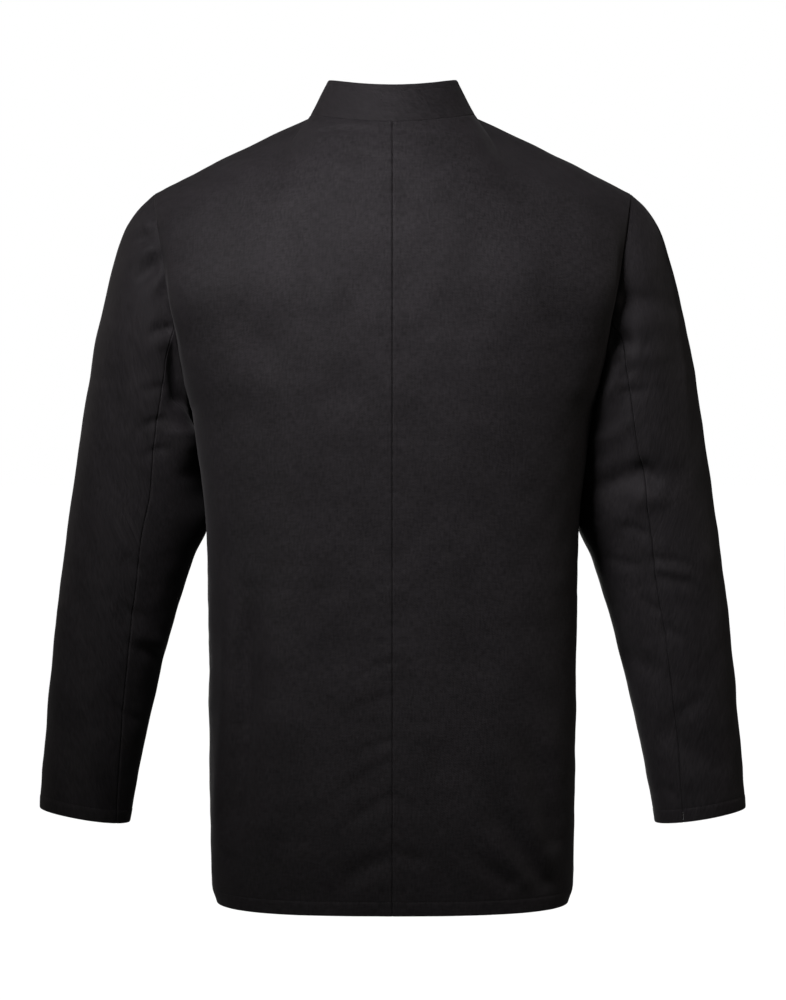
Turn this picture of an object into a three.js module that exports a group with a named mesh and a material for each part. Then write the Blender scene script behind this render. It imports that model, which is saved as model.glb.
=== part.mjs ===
// A black chef jacket with long sleeves, filled out as it is worn, with nobody in it.
// Millimetres, +Z up. The front faces -Y, the back faces +Y, and +X is the wearer's left.
// The origin is the middle of the neck opening at the height of the collar seam.
// Every cloth piece is a thin wall: its outer face is worked out from a few sections,
// and its inner face lies one wall thickness behind it.

import * as THREE from "three";

// Cloth
const CLOTH_WALL = 1.5;
const COLLAR_WALL = 2;
const SEAM_GAP = 0.3;

// Heights and widths that drive the jacket
const HEM_Z = -753;
const UNDERARM_Z = -280;
const UNDERARM_X = 193;
const SHOULDER_TIP_X = 230;
const SHOULDER_TIP_Z = -71;
const SHOULDER_SEAM_Y = -8;
const SHOULDER_BOW = 1.5;

// Neck ring, where the collar is sewn on
const NECK_HALF_WIDTH = 79;
const NECK_HALF_DEPTH = 58;
const NECK_BACK_Z = -4;
const NECK_SIDE_Z = 5.5;
const NECK_FRONT_Z = -66;

// Stand collar: how far its top edge leans in over the neck ring, and its height
const COLLAR_HEIGHT = 37;
const COLLAR_LEAN_SIDE = 17;
const COLLAR_LEAN_BACK = 11;
const COLLAR_LEAN_FRONT = 5;
const COLLAR_FRONT_GAP = 5;
const COLLAR_CORNER = 16;

// Double-breasted front
const WRAP_WIDTH = 86;
const WRAP_TOP_DROP = 12;
const WRAP_CLEARANCE = 1;
const WRAP_RAMP_START = 96;
const WRAP_RAMP_END = 150;
const WRAP_FADE_TOP_Z = -10;
const WRAP_FADE_BOTTOM_Z = -56;

// Buttons
const BUTTON_RADIUS = 9;
const BUTTON_HEIGHT = 3.4;
const BUTTON_COLUMN_X = 68;
const BUTTON_TOP_Z = -108;
const BUTTON_PITCH = 108;
const BUTTON_ROWS = 5;
const BUTTON_SIDES = 12;

// Grid of each cloth piece
const NECK_COLUMNS = 5;
const SHOULDER_COLUMNS = 7;
const BODY_LOWER_ROWS = 12;
const BODY_UPPER_ROWS = 12;
const SLEEVE_ROWS = 24;
const TOP_SLEEVE_COLUMNS = 15;
const UNDER_SLEEVE_COLUMNS = 9;
const COLLAR_ROWS = 3;
const COLLAR_CORNER_COLUMNS = 5;

// Columns of a wrap, as shares of its width from the free edge in to the centre
const WRAP_COLUMNS = [1, 0.7, 0.45, 0.22];

// Level sections of the body from the hem up to the underarm
const BODY_SECTIONS = [
  { z: HEM_Z, halfWidth: 174, back: 118, front: 134 },
  { z: -733, halfWidth: 175, back: 118, front: 134 },
  { z: -675, halfWidth: 176, back: 117, front: 134 },
  { z: -597, halfWidth: 177, back: 115, front: 132 },
  { z: -501, halfWidth: 177.5, back: 113, front: 128 },
  { z: -443, halfWidth: 178.5, back: 114, front: 127 },
  { z: -395, halfWidth: 179.5, back: 116, front: 128 },
  { z: -364, halfWidth: 182, back: 118, front: 129 },
  { z: -327, halfWidth: 186.5, back: 121, front: 130 },
  { z: UNDERARM_Z, halfWidth: UNDERARM_X, back: 124, front: 131 },
];

// Squareness of a section: 2 is an ellipse, more is squarer
const SQUARENESS = { back: 2.7, front: 2.4 };

// How the centre line of each face runs in from the underarm level to the neck
const CENTRE_BEND = { back: 3, front: 2.4 };

// Share of a body row that lies under the neck ring; the rest lies under the shoulder seam
const NECK_SHARE = { back: 0.36, front: 0.42 };

// How late the rows take on the line of the neck and shoulder
const TOP_BLEND = 3.5;

// Sleeve rings from the armhole to the cuff, each through an outer and an inner point
const SLEEVE_RINGS = [
  {
    down: 0,
    outX: SHOULDER_TIP_X,
    outY: SHOULDER_SEAM_Y,
    outZ: SHOULDER_TIP_Z,
    inX: UNDERARM_X,
    inY: 0,
    inZ: UNDERARM_Z,
    depth: 60,
  },
  { down: 0.035, outX: 245, outY: -8, outZ: -85, inX: 194.2, inY: -2, inZ: -284, depth: 62 },
  { down: 0.075, outX: 258, outY: -8, outZ: -105, inX: 193.4, inY: -4, inZ: -289, depth: 64 },
  { down: 0.125, outX: 268, outY: -8, outZ: -133, inX: 191.2, inY: -7, inZ: -296, depth: 66 },
  { down: 0.19, outX: 277.5, outY: -9, outZ: -171, inX: 189.8, inY: -12, inZ: -305, depth: 67 },
  { down: 0.28, outX: 289, outY: -10, outZ: -224, inX: 186.8, inY: -20, inZ: -326, depth: 67 },
  { down: 0.38, outX: 299.5, outY: -12, outZ: -288, inX: 182.4, inY: -27, inZ: -358, depth: 66 },
  { down: 0.47, outX: 308.5, outY: -14, outZ: -346, inX: 179.8, inY: -31, inZ: -391, depth: 63 },
  { down: 0.56, outX: 317, outY: -16, outZ: -404, inX: 195, inY: -32, inZ: -426, depth: 60 },
  { down: 0.69, outX: 327, outY: -20, outZ: -482, inX: 218, inY: -32, inZ: -501, depth: 55 },
  { down: 0.82, outX: 335.5, outY: -26, outZ: -559, inX: 236.5, inY: -32, inZ: -578, depth: 50 },
  { down: 0.93, outX: 342, outY: -30, outZ: -624, inX: 250, inY: -33, inZ: -643, depth: 47 },
  { down: 1, outX: 345.5, outY: -32, outZ: -667, inX: 257, inY: -34, inZ: -682, depth: 45 },
];

// The two long seams of a sleeve, as angles round its rings, from the outer point over the back
const SLEEVE_SEAMS = [
  { down: 0, left: 104, right: 102, front: 240 },
  { down: 0.06, left: 110, right: 103, front: 240 },
  { down: 0.19, left: 109, right: 102, front: 240 },
  { down: 0.34, left: 103, right: 97, front: 240 },
  { down: 0.43, left: 100.5, right: 90.5, front: 240 },
  { down: 0.5, left: 99, right: 91.5, front: 240 },
  { down: 0.6, left: 106, right: 98.5, front: 240 },
  { down: 0.72, left: 114, right: 102, front: 240 },
  { down: 0.84, left: 123, right: 107.5, front: 240 },
  { down: 1, left: 138, right: 116, front: 240 },
];

// The largest folds: soft ridges (depth over 0) and troughs (under 0) along a bowed line
const FOLDS = [
  { face: "back", fromX: 152, fromZ: -450, toX: 146, toZ: -600, bow: 4, width: 17, depth: -5 },
  { face: "back", fromX: 150, fromZ: -610, toX: 164, toZ: -735, bow: 0, width: 16, depth: -4.5 },
  { face: "back", fromX: 128, fromZ: -430, toX: 120, toZ: -640, bow: -4, width: 20, depth: 2.5 },
  { face: "back", fromX: -158, fromZ: -745, toX: -112, toZ: -650, bow: 5, width: 15, depth: -3.5 },
  { face: "back", fromX: -150, fromZ: -700, toX: -140, toZ: -560, bow: -4, width: 17, depth: -4 },
  { face: "back", fromX: -120, fromZ: -735, toX: -60, toZ: -640, bow: 4, width: 18, depth: 2.5 },
  { face: "back", fromX: 70, fromZ: -120, toX: 175, toZ: -145, bow: 14, width: 34, depth: 4 },
  { face: "back", fromX: -85, fromZ: -160, toX: -175, toZ: -190, bow: -14, width: 36, depth: 4 },
  { face: "back", fromX: 185, fromZ: -160, toX: 172, toZ: -330, bow: -6, width: 18, depth: -3.5 },
  { face: "back", fromX: -183, fromZ: -170, toX: -170, toZ: -340, bow: 6, width: 18, depth: -3.5 },
  { face: "back", fromX: 262, fromZ: -122, toX: 214, toZ: -166, bow: 3, width: 11, depth: -4 },
  { face: "back", fromX: 222, fromZ: -255, toX: 216, toZ: -340, bow: 5, width: 15, depth: 4 },
  { face: "back", fromX: 222, fromZ: -510, toX: 256, toZ: -490, bow: 3, width: 12, depth: 3 },
  { face: "back", fromX: -228, fromZ: -164, toX: -272, toZ: -182, bow: -3, width: 12, depth: -4 },
  { face: "back", fromX: -203, fromZ: -330, toX: -275, toZ: -348, bow: 5, width: 14, depth: -4.5 },
  { face: "back", fromX: -262, fromZ: -424, toX: -306, toZ: -442, bow: 3, width: 12, depth: -3 },
  { face: "back", fromX: -240, fromZ: -516, toX: -270, toZ: -532, bow: -3, width: 13, depth: -3 },
  { face: "back", fromX: -276, fromZ: -612, toX: -314, toZ: -632, bow: 3, width: 13, depth: -3 },
  { face: "front", fromX: 150, fromZ: -470, toX: 140, toZ: -720, bow: 6, width: 20, depth: -4 },
  { face: "front", fromX: -152, fromZ: -440, toX: -138, toZ: -690, bow: -6, width: 20, depth: -4 },
  { face: "front", fromX: 180, fromZ: -170, toX: 150, toZ: -300, bow: -8, width: 18, depth: -4 },
  { face: "front", fromX: -180, fromZ: -170, toX: -150, toZ: -300, bow: 8, width: 18, depth: -4 },
  { face: "front", fromX: 214, fromZ: -370, toX: 286, toZ: -352, bow: 5, width: 13, depth: -4.5 },
  { face: "front", fromX: 222, fromZ: -420, toX: 300, toZ: -396, bow: 5, width: 12, depth: -3.5 },
  { face: "front", fromX: -214, fromZ: -360, toX: -284, toZ: -346, bow: -5, width: 13, depth: -4.5 },
  { face: "front", fromX: -224, fromZ: -415, toX: -298, toZ: -388, bow: -5, width: 12, depth: -3.5 },
];

// A fold shows where the cloth faces its side of the jacket, and dies out towards an armhole
const FOLD_FACING_START = 0.05;
const FOLD_FACING_END = 0.6;
const BODY_FOLD_FADE = 0.12;
const SLEEVE_FOLD_FADE = 0.06;

// Half of a button's outline from its axis at the back round to its axis at the front
const BUTTON_PROFILE = [
  { radius: 0, height: 0 },
  { radius: 0.9, height: 0 },
  { radius: 1, height: 0.4 },
  { radius: 0.88, height: 1 },
  { radius: 0.6, height: 0.78 },
  { radius: 0, height: 0.7 },
];

const CLOTH_COLOUR = "#1d1c1e";
const BUTTON_COLOUR = "#161617";

const HALF_TURN = Math.PI;
const QUARTER_TURN = Math.PI / 2;

// Small steps at which a surface is tried to find its direction, in its own two numbers,
// and halvings at which a search for a place on it ends
const FACING_STEP = 0.002;
const SEAM_ANGLE_STEP = 0.01;
const NECK_ROW_STEP = 0.02;
const SEARCH_HALVINGS = 26;

// The value of one column of a table at a place between its rows, on a smooth curve
function tableValue(table, key, at, column) {
  let row = 0;
  while (row < table.length - 2 && at > table[row + 1][key]) {
    row += 1;
  }
  const span = table[row + 1][key] - table[row][key];
  const share = (at - table[row][key]) / span;
  const slope = (i) => {
    const before = Math.max(i - 1, 0);
    const after = Math.min(i + 1, table.length - 1);
    return (table[after][column] - table[before][column]) / (table[after][key] - table[before][key]);
  };
  const start = table[row][column];
  const end = table[row + 1][column];
  const cube = share ** 3;
  const square = share ** 2;
  return (
    start * (2 * cube - 3 * square + 1) +
    slope(row) * span * (cube - 2 * square + share) +
    end * (3 * square - 2 * cube) +
    slope(row + 1) * span * (cube - square)
  );
}

function mix(from, to, share) {
  return from + (to - from) * share;
}

// 0 before the start, 1 past the end, smooth between
function ease(value, start, end) {
  return THREE.MathUtils.smoothstep((value - start) / (end - start), 0, 1);
}

// A point of the neck ring; turn is 0 at the centre back and a half turn at the centre front
function neckPoint(turn) {
  const sideways = Math.sin(turn) ** 2;
  const endZ = turn < QUARTER_TURN ? NECK_BACK_Z : NECK_FRONT_Z;
  return new THREE.Vector3(
    NECK_HALF_WIDTH * Math.sin(turn),
    NECK_HALF_DEPTH * Math.cos(turn),
    mix(endZ, NECK_SIDE_Z, sideways),
  );
}

// The neck ring and then the shoulder seam, the upper edge of a body panel
function topPoint(face, across) {
  const neckShare = NECK_SHARE[face];
  const seamTurn = Math.acos(SHOULDER_SEAM_Y / NECK_HALF_DEPTH);
  if (across <= neckShare) {
    const centreTurn = face === "back" ? 0 : HALF_TURN;
    return neckPoint(mix(centreTurn, seamTurn, across / neckShare));
  }
  const tip = new THREE.Vector3(SHOULDER_TIP_X, SHOULDER_SEAM_Y, SHOULDER_TIP_Z);
  const share = (across - neckShare) / (1 - neckShare);
  const point = neckPoint(seamTurn).lerp(tip, share);
  point.z += SHOULDER_BOW * 4 * share * (1 - share);
  return point;
}

// A point of a sleeve ring; the angle is 0 at the outer point and a quarter turn at the back
function ringPoint(down, angle) {
  const at = (column) => tableValue(SLEEVE_RINGS, "down", down, column);
  const outer = new THREE.Vector3(at("outX"), at("outY"), at("outZ"));
  const inner = new THREE.Vector3(at("inX"), at("inY"), at("inZ"));
  const point = outer.clone().add(inner).multiplyScalar(0.5);
  point.addScaledVector(outer.sub(inner), 0.5 * Math.cos(angle));
  point.y += at("depth") * Math.sin(angle);
  return point;
}

// A point of the body's left half; across runs from the centre to the side,
// and up runs from the hem (0) past the underarm (1) to the neck and shoulder (2)
function bodyPoint(face, across, up) {
  const outward = face === "back" ? 1 : -1;
  const angle = across * QUARTER_TURN;
  const power = 2 / SQUARENESS[face];
  const wide = Math.sin(angle) ** power;
  const deep = Math.max(Math.cos(angle), 0) ** power;
  if (up <= 1) {
    const z = mix(HEM_Z, UNDERARM_Z, up);
    const halfWidth = tableValue(BODY_SECTIONS, "z", z, "halfWidth");
    const depth = tableValue(BODY_SECTIONS, "z", z, face);
    return new THREE.Vector3(halfWidth * wide, outward * depth * deep, z);
  }
  const rise = up - 1;
  const top = topPoint(face, across);
  const topStart = topPoint(face, 0);
  const topEnd = topPoint(face, 1);
  const depth = BODY_SECTIONS.at(-1)[face];
  const edge = ringPoint(0, outward * HALF_TURN * (1 - rise));
  const centreY = mix(outward * depth, topStart.y, rise ** CENTRE_BEND[face]);
  const centreZ = mix(UNDERARM_Z, topStart.z, rise);
  const blend = rise ** TOP_BLEND;
  const low = across ** 2;
  const x = edge.x * wide + blend * (top.x - topEnd.x * wide);
  const y = mix(edge.y, centreY, deep) + blend * (top.y - mix(topEnd.y, topStart.y, deep));
  const z = mix(centreZ, edge.z, low) + blend * (top.z - mix(topStart.z, topEnd.z, low));
  return new THREE.Vector3(x, y, z);
}

// How far the folds lift a point of the outer face, given its own direction
function foldLift(point, normal) {
  let lift = 0;
  for (const fold of FOLDS) {
    const faceY = fold.face === "back" ? normal.y : -normal.y;
    const shown = ease(faceY, FOLD_FACING_START, FOLD_FACING_END);
    const run = new THREE.Vector2(fold.toX - fold.fromX, fold.toZ - fold.fromZ);
    const length = run.length();
    run.divideScalar(length);
    const away = new THREE.Vector2(point.x - fold.fromX, point.z - fold.fromZ);
    const along = THREE.MathUtils.clamp(away.dot(run) / length, 0, 1);
    const beside = away.y * run.x - away.x * run.y - fold.bow * 4 * along * (1 - along);
    const past = away.dot(run) - along * length;
    lift += shown * fold.depth * Math.exp(-((beside / fold.width) ** 2) - (past / fold.width) ** 2);
  }
  return lift;
}

// The direction that a surface faces, from how it moves with each of its two numbers
function facing(surface, u, v, uStart, uEnd, vStart, vEnd) {
  const step = FACING_STEP;
  const alongU = surface(Math.min(u + step, uEnd), v).sub(surface(Math.max(u - step, uStart), v));
  const alongV = surface(u, Math.min(v + step, vEnd)).sub(surface(u, Math.max(v - step, vStart)));
  return alongV.cross(alongU).normalize();
}

function mirrored(vector, side) {
  return new THREE.Vector3(vector.x * side, vector.y, vector.z);
}

// A point of the finished body cloth on one side: 1 is the wearer's left, -1 the right.
// A negative across goes past the centre line, onto the wrap of a front.
function bodyCloth(side, face, across, up, lift) {
  const half = across < 0 ? -side : side;
  const surface = (u, v) => bodyPoint(face, u, v);
  const normal = facing(surface, Math.abs(across), up, 0, 1, 0, 2);
  normal.multiplyScalar(face === "back" ? 1 : -1);
  const point = mirrored(bodyPoint(face, Math.abs(across), up), half);
  const direction = mirrored(normal, half);
  const armholeFade = up > 1 ? ease(1 - across, 0, BODY_FOLD_FADE) : 1;
  const height = foldLift(point, direction) * armholeFade + lift(point);
  return { point: point.addScaledVector(direction, height), normal: direction };
}

// A point of the finished sleeve cloth on one side
function sleeveCloth(side, down, angle) {
  const surface = (u, v) => ringPoint(v, u);
  const normal = facing(surface, angle, down, -HALF_TURN, HALF_TURN * 2, 0, 1);
  const point = mirrored(ringPoint(down, angle), side);
  const direction = mirrored(normal, side);
  const height = foldLift(point, direction) * ease(down, 0, SLEEVE_FOLD_FADE);
  return { point: point.addScaledVector(direction, height), normal: direction };
}

// A closed wall from rows of outer points. Each point has the direction that it faces and
// the directions in which the next pieces lie across its seams.
function clothWall(rows, thickness) {
  const outer = [];
  const inner = [];
  for (const row of rows) {
    for (const { point, normal, seams } of row) {
      const face = point.clone();
      const through = normal.clone().multiplyScalar(-thickness);
      for (const seam of seams) {
        face.addScaledVector(seam, -SEAM_GAP / 2);
        through.addScaledVector(seam, -Math.max(through.dot(seam), 0));
      }
      outer.push(face);
      inner.push(face.clone().add(through));
    }
  }
  const count = rows[0].length;
  const index = (i, j) => j * count + i;
  const faces = [];
  const quad = (a, b, c, d) => faces.push(a, b, c, a, c, d);
  for (let j = 0; j < rows.length - 1; j += 1) {
    for (let i = 0; i < count - 1; i += 1) {
      const corners = [index(i, j), index(i + 1, j), index(i + 1, j + 1), index(i, j + 1)];
      quad(...corners);
      quad(...corners.map((corner) => corner + outer.length).reverse());
    }
  }
  const rim = [];
  for (let i = 0; i < count; i += 1) {
    rim.push(index(i, 0));
  }
  for (let j = 1; j < rows.length; j += 1) {
    rim.push(index(count - 1, j));
  }
  for (let i = count - 2; i >= 0; i -= 1) {
    rim.push(index(i, rows.length - 1));
  }
  for (let j = rows.length - 2; j > 0; j -= 1) {
    rim.push(index(0, j));
  }
  rim.forEach((corner, k) => {
    const next = rim[(k + 1) % rim.length];
    quad(corner, corner + outer.length, next + outer.length, next);
  });
  const points = [...outer, ...inner];
  let volume = 0;
  for (let k = 0; k < faces.length; k += 3) {
    const [a, b, c] = [points[faces[k]], points[faces[k + 1]], points[faces[k + 2]]];
    volume += a.dot(b.clone().cross(c));
  }
  if (volume < 0) {
    faces.reverse();
  }
  const geometry = new THREE.BufferGeometry().setFromPoints(points);
  geometry.setIndex(faces);
  geometry.computeVertexNormals();
  return geometry;
}

const clothMaterial = new THREE.MeshStandardMaterial({ color: CLOTH_COLOUR, roughness: 0.85 });
const buttonMaterial = new THREE.MeshStandardMaterial({ color: BUTTON_COLOUR, roughness: 0.5 });

function named(name, geometry, material) {
  const mesh = new THREE.Mesh(geometry, material.clone());
  mesh.name = name;
  return mesh;
}

// Across the armhole, square to the line from the underarm to the shoulder tip
function armholeDirection(side) {
  const rise = SHOULDER_TIP_Z - UNDERARM_Z;
  const run = SHOULDER_TIP_X - UNDERARM_X;
  return new THREE.Vector3(side * rise, 0, -run).normalize();
}

// The rows of a body panel: even below the underarm, and even above it
function bodyRows() {
  const rows = [];
  for (let j = 0; j <= BODY_LOWER_ROWS; j += 1) {
    rows.push(j / BODY_LOWER_ROWS);
  }
  for (let j = 1; j <= BODY_UPPER_ROWS; j += 1) {
    rows.push(1 + j / BODY_UPPER_ROWS);
  }
  return rows;
}

// The columns of a body panel: one always ends at the corner of neck and shoulder
function bodyColumns(face) {
  const columns = [];
  for (let i = 0; i <= NECK_COLUMNS; i += 1) {
    columns.push((NECK_SHARE[face] * i) / NECK_COLUMNS);
  }
  for (let i = 1; i <= SHOULDER_COLUMNS; i += 1) {
    columns.push(mix(NECK_SHARE[face], 1, i / SHOULDER_COLUMNS));
  }
  return columns;
}

// The seams that a point of a body panel touches, as directions across them
function bodySeams(side, face, across, up) {
  const seams = [];
  const outward = face === "back" ? 1 : -1;
  if (across === 0 && face === "back") {
    seams.push(new THREE.Vector3(-side, 0, 0));
  }
  if (across === 1 && up <= 1) {
    seams.push(new THREE.Vector3(0, -outward, 0));
  }
  if (across === 1 && up > 1) {
    seams.push(armholeDirection(side));
  }
  if (up === 2 && across > NECK_SHARE[face]) {
    seams.push(new THREE.Vector3(0, -outward, 0));
  }
  if (up === 2 && across >= 0 && across <= NECK_SHARE[face]) {
    const below = bodyPoint(face, across, 2 - NECK_ROW_STEP);
    seams.push(mirrored(bodyPoint(face, across, 2).sub(below), side).normalize());
  }
  return seams;
}

function backPanel(side) {
  const rows = bodyRows().map((up) =>
    bodyColumns("back").map((across) => ({
      ...bodyCloth(side, "back", across, up, () => 0),
      seams: bodySeams(side, "back", across, up),
    })),
  );
  return clothWall(rows, CLOTH_WALL);
}

// A value between two ends at which a rising measure reaches its aim
function solve(start, end, aim, measure) {
  let low = start;
  let high = end;
  for (let step = 0; step < SEARCH_HALVINGS; step += 1) {
    const middle = (low + high) / 2;
    if (measure(middle) < aim) {
      low = middle;
    } else {
      high = middle;
    }
  }
  return (low + high) / 2;
}

function acrossAt(distance, up) {
  return solve(0, 1, distance, (across) => bodyPoint("front", across, up).x);
}

// The row at which the wrap's slanted top edge lies, a distance past the centre
function wrapTopRow(distance) {
  const topZ = NECK_FRONT_Z - (WRAP_TOP_DROP * distance) / WRAP_WIDTH;
  return solve(1, 2, topZ, (up) => bodyPoint("front", acrossAt(distance, up), up).z);
}

// How far the over front lies outside the under front
function wrapLift(point) {
  const overUnder = 1 - ease(point.x, WRAP_RAMP_START, WRAP_RAMP_END);
  const belowShoulder = ease(-point.z, -WRAP_FADE_TOP_Z, -WRAP_FADE_BOTTOM_Z);
  return (CLOTH_WALL + WRAP_CLEARANCE) * overUnder * belowShoulder;
}

// A front with its wrap past the centre; the wearer's left front lies over the right one
function frontPanel(side) {
  const lift = side > 0 ? wrapLift : () => 0;
  const columns = bodyColumns("front");
  const topRows = WRAP_COLUMNS.map((share) => wrapTopRow(WRAP_WIDTH * share));
  const rows = bodyRows().map((up) => {
    const wrap = WRAP_COLUMNS.map((share, k) => {
      const row = up <= 1 ? up : mix(1, topRows[k], up - 1);
      const across = acrossAt(WRAP_WIDTH * share, row);
      return { ...bodyCloth(side, "front", -across, row, lift), seams: [] };
    });
    const main = columns.map((across) => ({
      ...bodyCloth(side, "front", across, up, lift),
      seams: bodySeams(side, "front", across, up),
    }));
    return [...wrap, ...main];
  });
  return clothWall(rows, CLOTH_WALL);
}

// One of the two pieces of a sleeve, between two of its seams
function sleevePiece(side, piece) {
  const seamSide = side > 0 ? "left" : "right";
  const columns = piece === "top" ? TOP_SLEEVE_COLUMNS : UNDER_SLEEVE_COLUMNS;
  const rows = [];
  for (let j = 0; j <= SLEEVE_ROWS; j += 1) {
    const down = j / SLEEVE_ROWS;
    const back = tableValue(SLEEVE_SEAMS, "down", down, seamSide);
    const front = tableValue(SLEEVE_SEAMS, "down", down, "front");
    const start = piece === "top" ? front - 360 : back;
    const end = piece === "top" ? back : front;
    const row = [];
    for (let i = 0; i <= columns; i += 1) {
      const angle = THREE.MathUtils.degToRad(mix(start, end, i / columns));
      const seams = [];
      if (j === 0) {
        seams.push(armholeDirection(side).negate());
      }
      if (i === 0 || i === columns) {
        const turn = i === 0 ? -SEAM_ANGLE_STEP : SEAM_ANGLE_STEP;
        const next = ringPoint(down, angle + turn).sub(ringPoint(down, angle));
        seams.push(mirrored(next, side).normalize());
      }
      row.push({ ...sleeveCloth(side, down, angle), seams });
    }
    rows.push(row);
  }
  return clothWall(rows, CLOTH_WALL);
}

// The neck edge of the body on one side, as finished points from the centre back to the front
function neckEdge(side) {
  const lift = side > 0 ? wrapLift : () => 0;
  const points = [];
  for (let i = 0; i <= NECK_COLUMNS; i += 1) {
    const across = (NECK_SHARE.back * i) / NECK_COLUMNS;
    points.push(bodyCloth(side, "back", across, 2, () => 0).point);
  }
  for (let i = NECK_COLUMNS - 1; i >= 0; i -= 1) {
    const across = (NECK_SHARE.front * i) / NECK_COLUMNS;
    points.push(bodyCloth(side, "front", across, 2, lift).point);
  }
  return points;
}

// A point of the collar's outer face; stations count the points of the neck edge
function collarPoint(edge, side, station, height) {
  const before = Math.min(Math.floor(station), edge.length - 2);
  const bottom = edge[before].clone().lerp(edge[before + 1], station - before);
  const seamTurn = Math.acos(SHOULDER_SEAM_Y / NECK_HALF_DEPTH);
  const turn =
    station <= NECK_COLUMNS
      ? (seamTurn * station) / NECK_COLUMNS
      : mix(seamTurn, HALF_TURN, (station - NECK_COLUMNS) / NECK_COLUMNS);
  const endLean = turn < QUARTER_TURN ? COLLAR_LEAN_BACK : COLLAR_LEAN_FRONT;
  const leanX = COLLAR_LEAN_SIDE * Math.sin(turn);
  const leanY = endLean * Math.cos(turn);
  const rise = Math.sqrt(COLLAR_HEIGHT ** 2 - leanX ** 2 - leanY ** 2);
  const slant = new THREE.Vector3(-leanX * side, -leanY, rise);
  return bottom.addScaledVector(slant, height / COLLAR_HEIGHT);
}

// A stand collar with rounded front corners, sewn to the neck edge of the body
function collar() {
  const columns = [];
  for (const side of [-1, 1]) {
    const edge = neckEdge(side);
    const last = edge.length - 1;
    const endLength = edge[last].distanceTo(edge[last - 1]);
    const end = last - COLLAR_FRONT_GAP / 2 / endLength;
    const stations = [];
    for (let station = side > 0 ? 0 : 1; station < last; station += 1) {
      stations.push(station);
    }
    for (let i = 1; i <= COLLAR_CORNER_COLUMNS; i += 1) {
      stations.push(mix(last - 1, end, i / COLLAR_CORNER_COLUMNS));
    }
    const surface = (station, height) => collarPoint(edge, side, station, height);
    const made = stations.map((station) => {
      const corner = COLLAR_CORNER - Math.min((end - station) * endLength, COLLAR_CORNER);
      const drop = COLLAR_CORNER - Math.sqrt(COLLAR_CORNER ** 2 - corner ** 2);
      const points = [];
      for (let j = 0; j <= COLLAR_ROWS; j += 1) {
        const height = ((COLLAR_HEIGHT - drop) * j) / COLLAR_ROWS;
        const normal = facing(surface, station, height, 0, last, 0, COLLAR_HEIGHT);
        const below = surface(station, 0).sub(surface(station, 1)).normalize();
        const seams = j === 0 ? [below] : [];
        points.push({ point: surface(station, height), normal: normal.multiplyScalar(side), seams });
      }
      return points;
    });
    columns.push(...(side > 0 ? made : made.reverse()));
  }
  const rows = columns[0].map((_, j) => columns.map((column) => column[j]));
  return clothWall(rows, COLLAR_WALL);
}

// A domed button with a rim, turned about its own axis
function buttonGeometry() {
  const profile = BUTTON_PROFILE.map(
    ({ radius, height }) => new THREE.Vector2(BUTTON_RADIUS * radius, BUTTON_HEIGHT * height),
  );
  return new THREE.LatheGeometry(profile, BUTTON_SIDES);
}

// A button on the over front, in the column on one side of the centre
function button(side, row) {
  const z = BUTTON_TOP_Z - BUTTON_PITCH * row;
  const up = solve(0, 2, z, (value) => bodyPoint("front", acrossAt(BUTTON_COLUMN_X, value), value).z);
  const across = acrossAt(BUTTON_COLUMN_X, up) * side;
  const { point, normal } = bodyCloth(1, "front", across, up, wrapLift);
  const place = side > 0 ? "left" : "right";
  const mesh = named(`button_${place}_${row + 1}`, buttonGeometry(), buttonMaterial);
  mesh.quaternion.setFromUnitVectors(new THREE.Vector3(0, 1, 0), normal);
  mesh.position.copy(point.addScaledVector(normal, SEAM_GAP));
  return mesh;
}

const jacket = new THREE.Group();
jacket.name = "chef_jacket";

jacket.add(named("back_left", backPanel(1), clothMaterial));
jacket.add(named("back_right", backPanel(-1), clothMaterial));
jacket.add(named("front_left_over", frontPanel(1), clothMaterial));
jacket.add(named("front_right_under", frontPanel(-1), clothMaterial));
jacket.add(named("collar", collar(), clothMaterial));
jacket.add(named("sleeve_left_top", sleevePiece(1, "top"), clothMaterial));
jacket.add(named("sleeve_left_under", sleevePiece(1, "under"), clothMaterial));
jacket.add(named("sleeve_right_top", sleevePiece(-1, "top"), clothMaterial));
jacket.add(named("sleeve_right_under", sleevePiece(-1, "under"), clothMaterial));

for (const side of [1, -1]) {
  for (let row = 0; row < BUTTON_ROWS; row += 1) {
    jacket.add(button(side, row));
  }
}

export default jacket;
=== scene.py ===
"""A black chef jacket, filled out as it is worn with nobody in it, in a plain studio."""

import math

import bmesh
import bpy
import numpy as np
from bpy.props import FloatProperty, FloatVectorProperty, PointerProperty
from mathutils import Matrix, Vector


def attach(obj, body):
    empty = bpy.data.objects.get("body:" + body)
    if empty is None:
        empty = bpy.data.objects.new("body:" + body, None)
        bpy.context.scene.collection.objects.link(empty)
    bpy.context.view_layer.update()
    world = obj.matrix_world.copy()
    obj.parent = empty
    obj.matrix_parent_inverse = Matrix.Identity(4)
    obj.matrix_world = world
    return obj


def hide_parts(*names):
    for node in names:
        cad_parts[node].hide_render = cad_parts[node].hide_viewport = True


bl_info = {
    "name": "Chef jacket",
    "version": (1, 0, 0),
    "blender": (4, 5, 0),
    "location": "3D View > Sidebar > Jacket",
    "description": "Makes the cloth, stitching and buttons of a chef jacket and a plain studio",
    "category": "Object",
}

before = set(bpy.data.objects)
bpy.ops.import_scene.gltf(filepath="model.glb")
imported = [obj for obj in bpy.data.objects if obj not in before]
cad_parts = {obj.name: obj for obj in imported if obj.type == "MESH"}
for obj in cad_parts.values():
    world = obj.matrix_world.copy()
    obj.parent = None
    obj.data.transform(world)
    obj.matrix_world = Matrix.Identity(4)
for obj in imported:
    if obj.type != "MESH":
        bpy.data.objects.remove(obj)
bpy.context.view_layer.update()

# Every length below is in millimetres, and this turns it into Blender's metres
MM = 0.001

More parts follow.
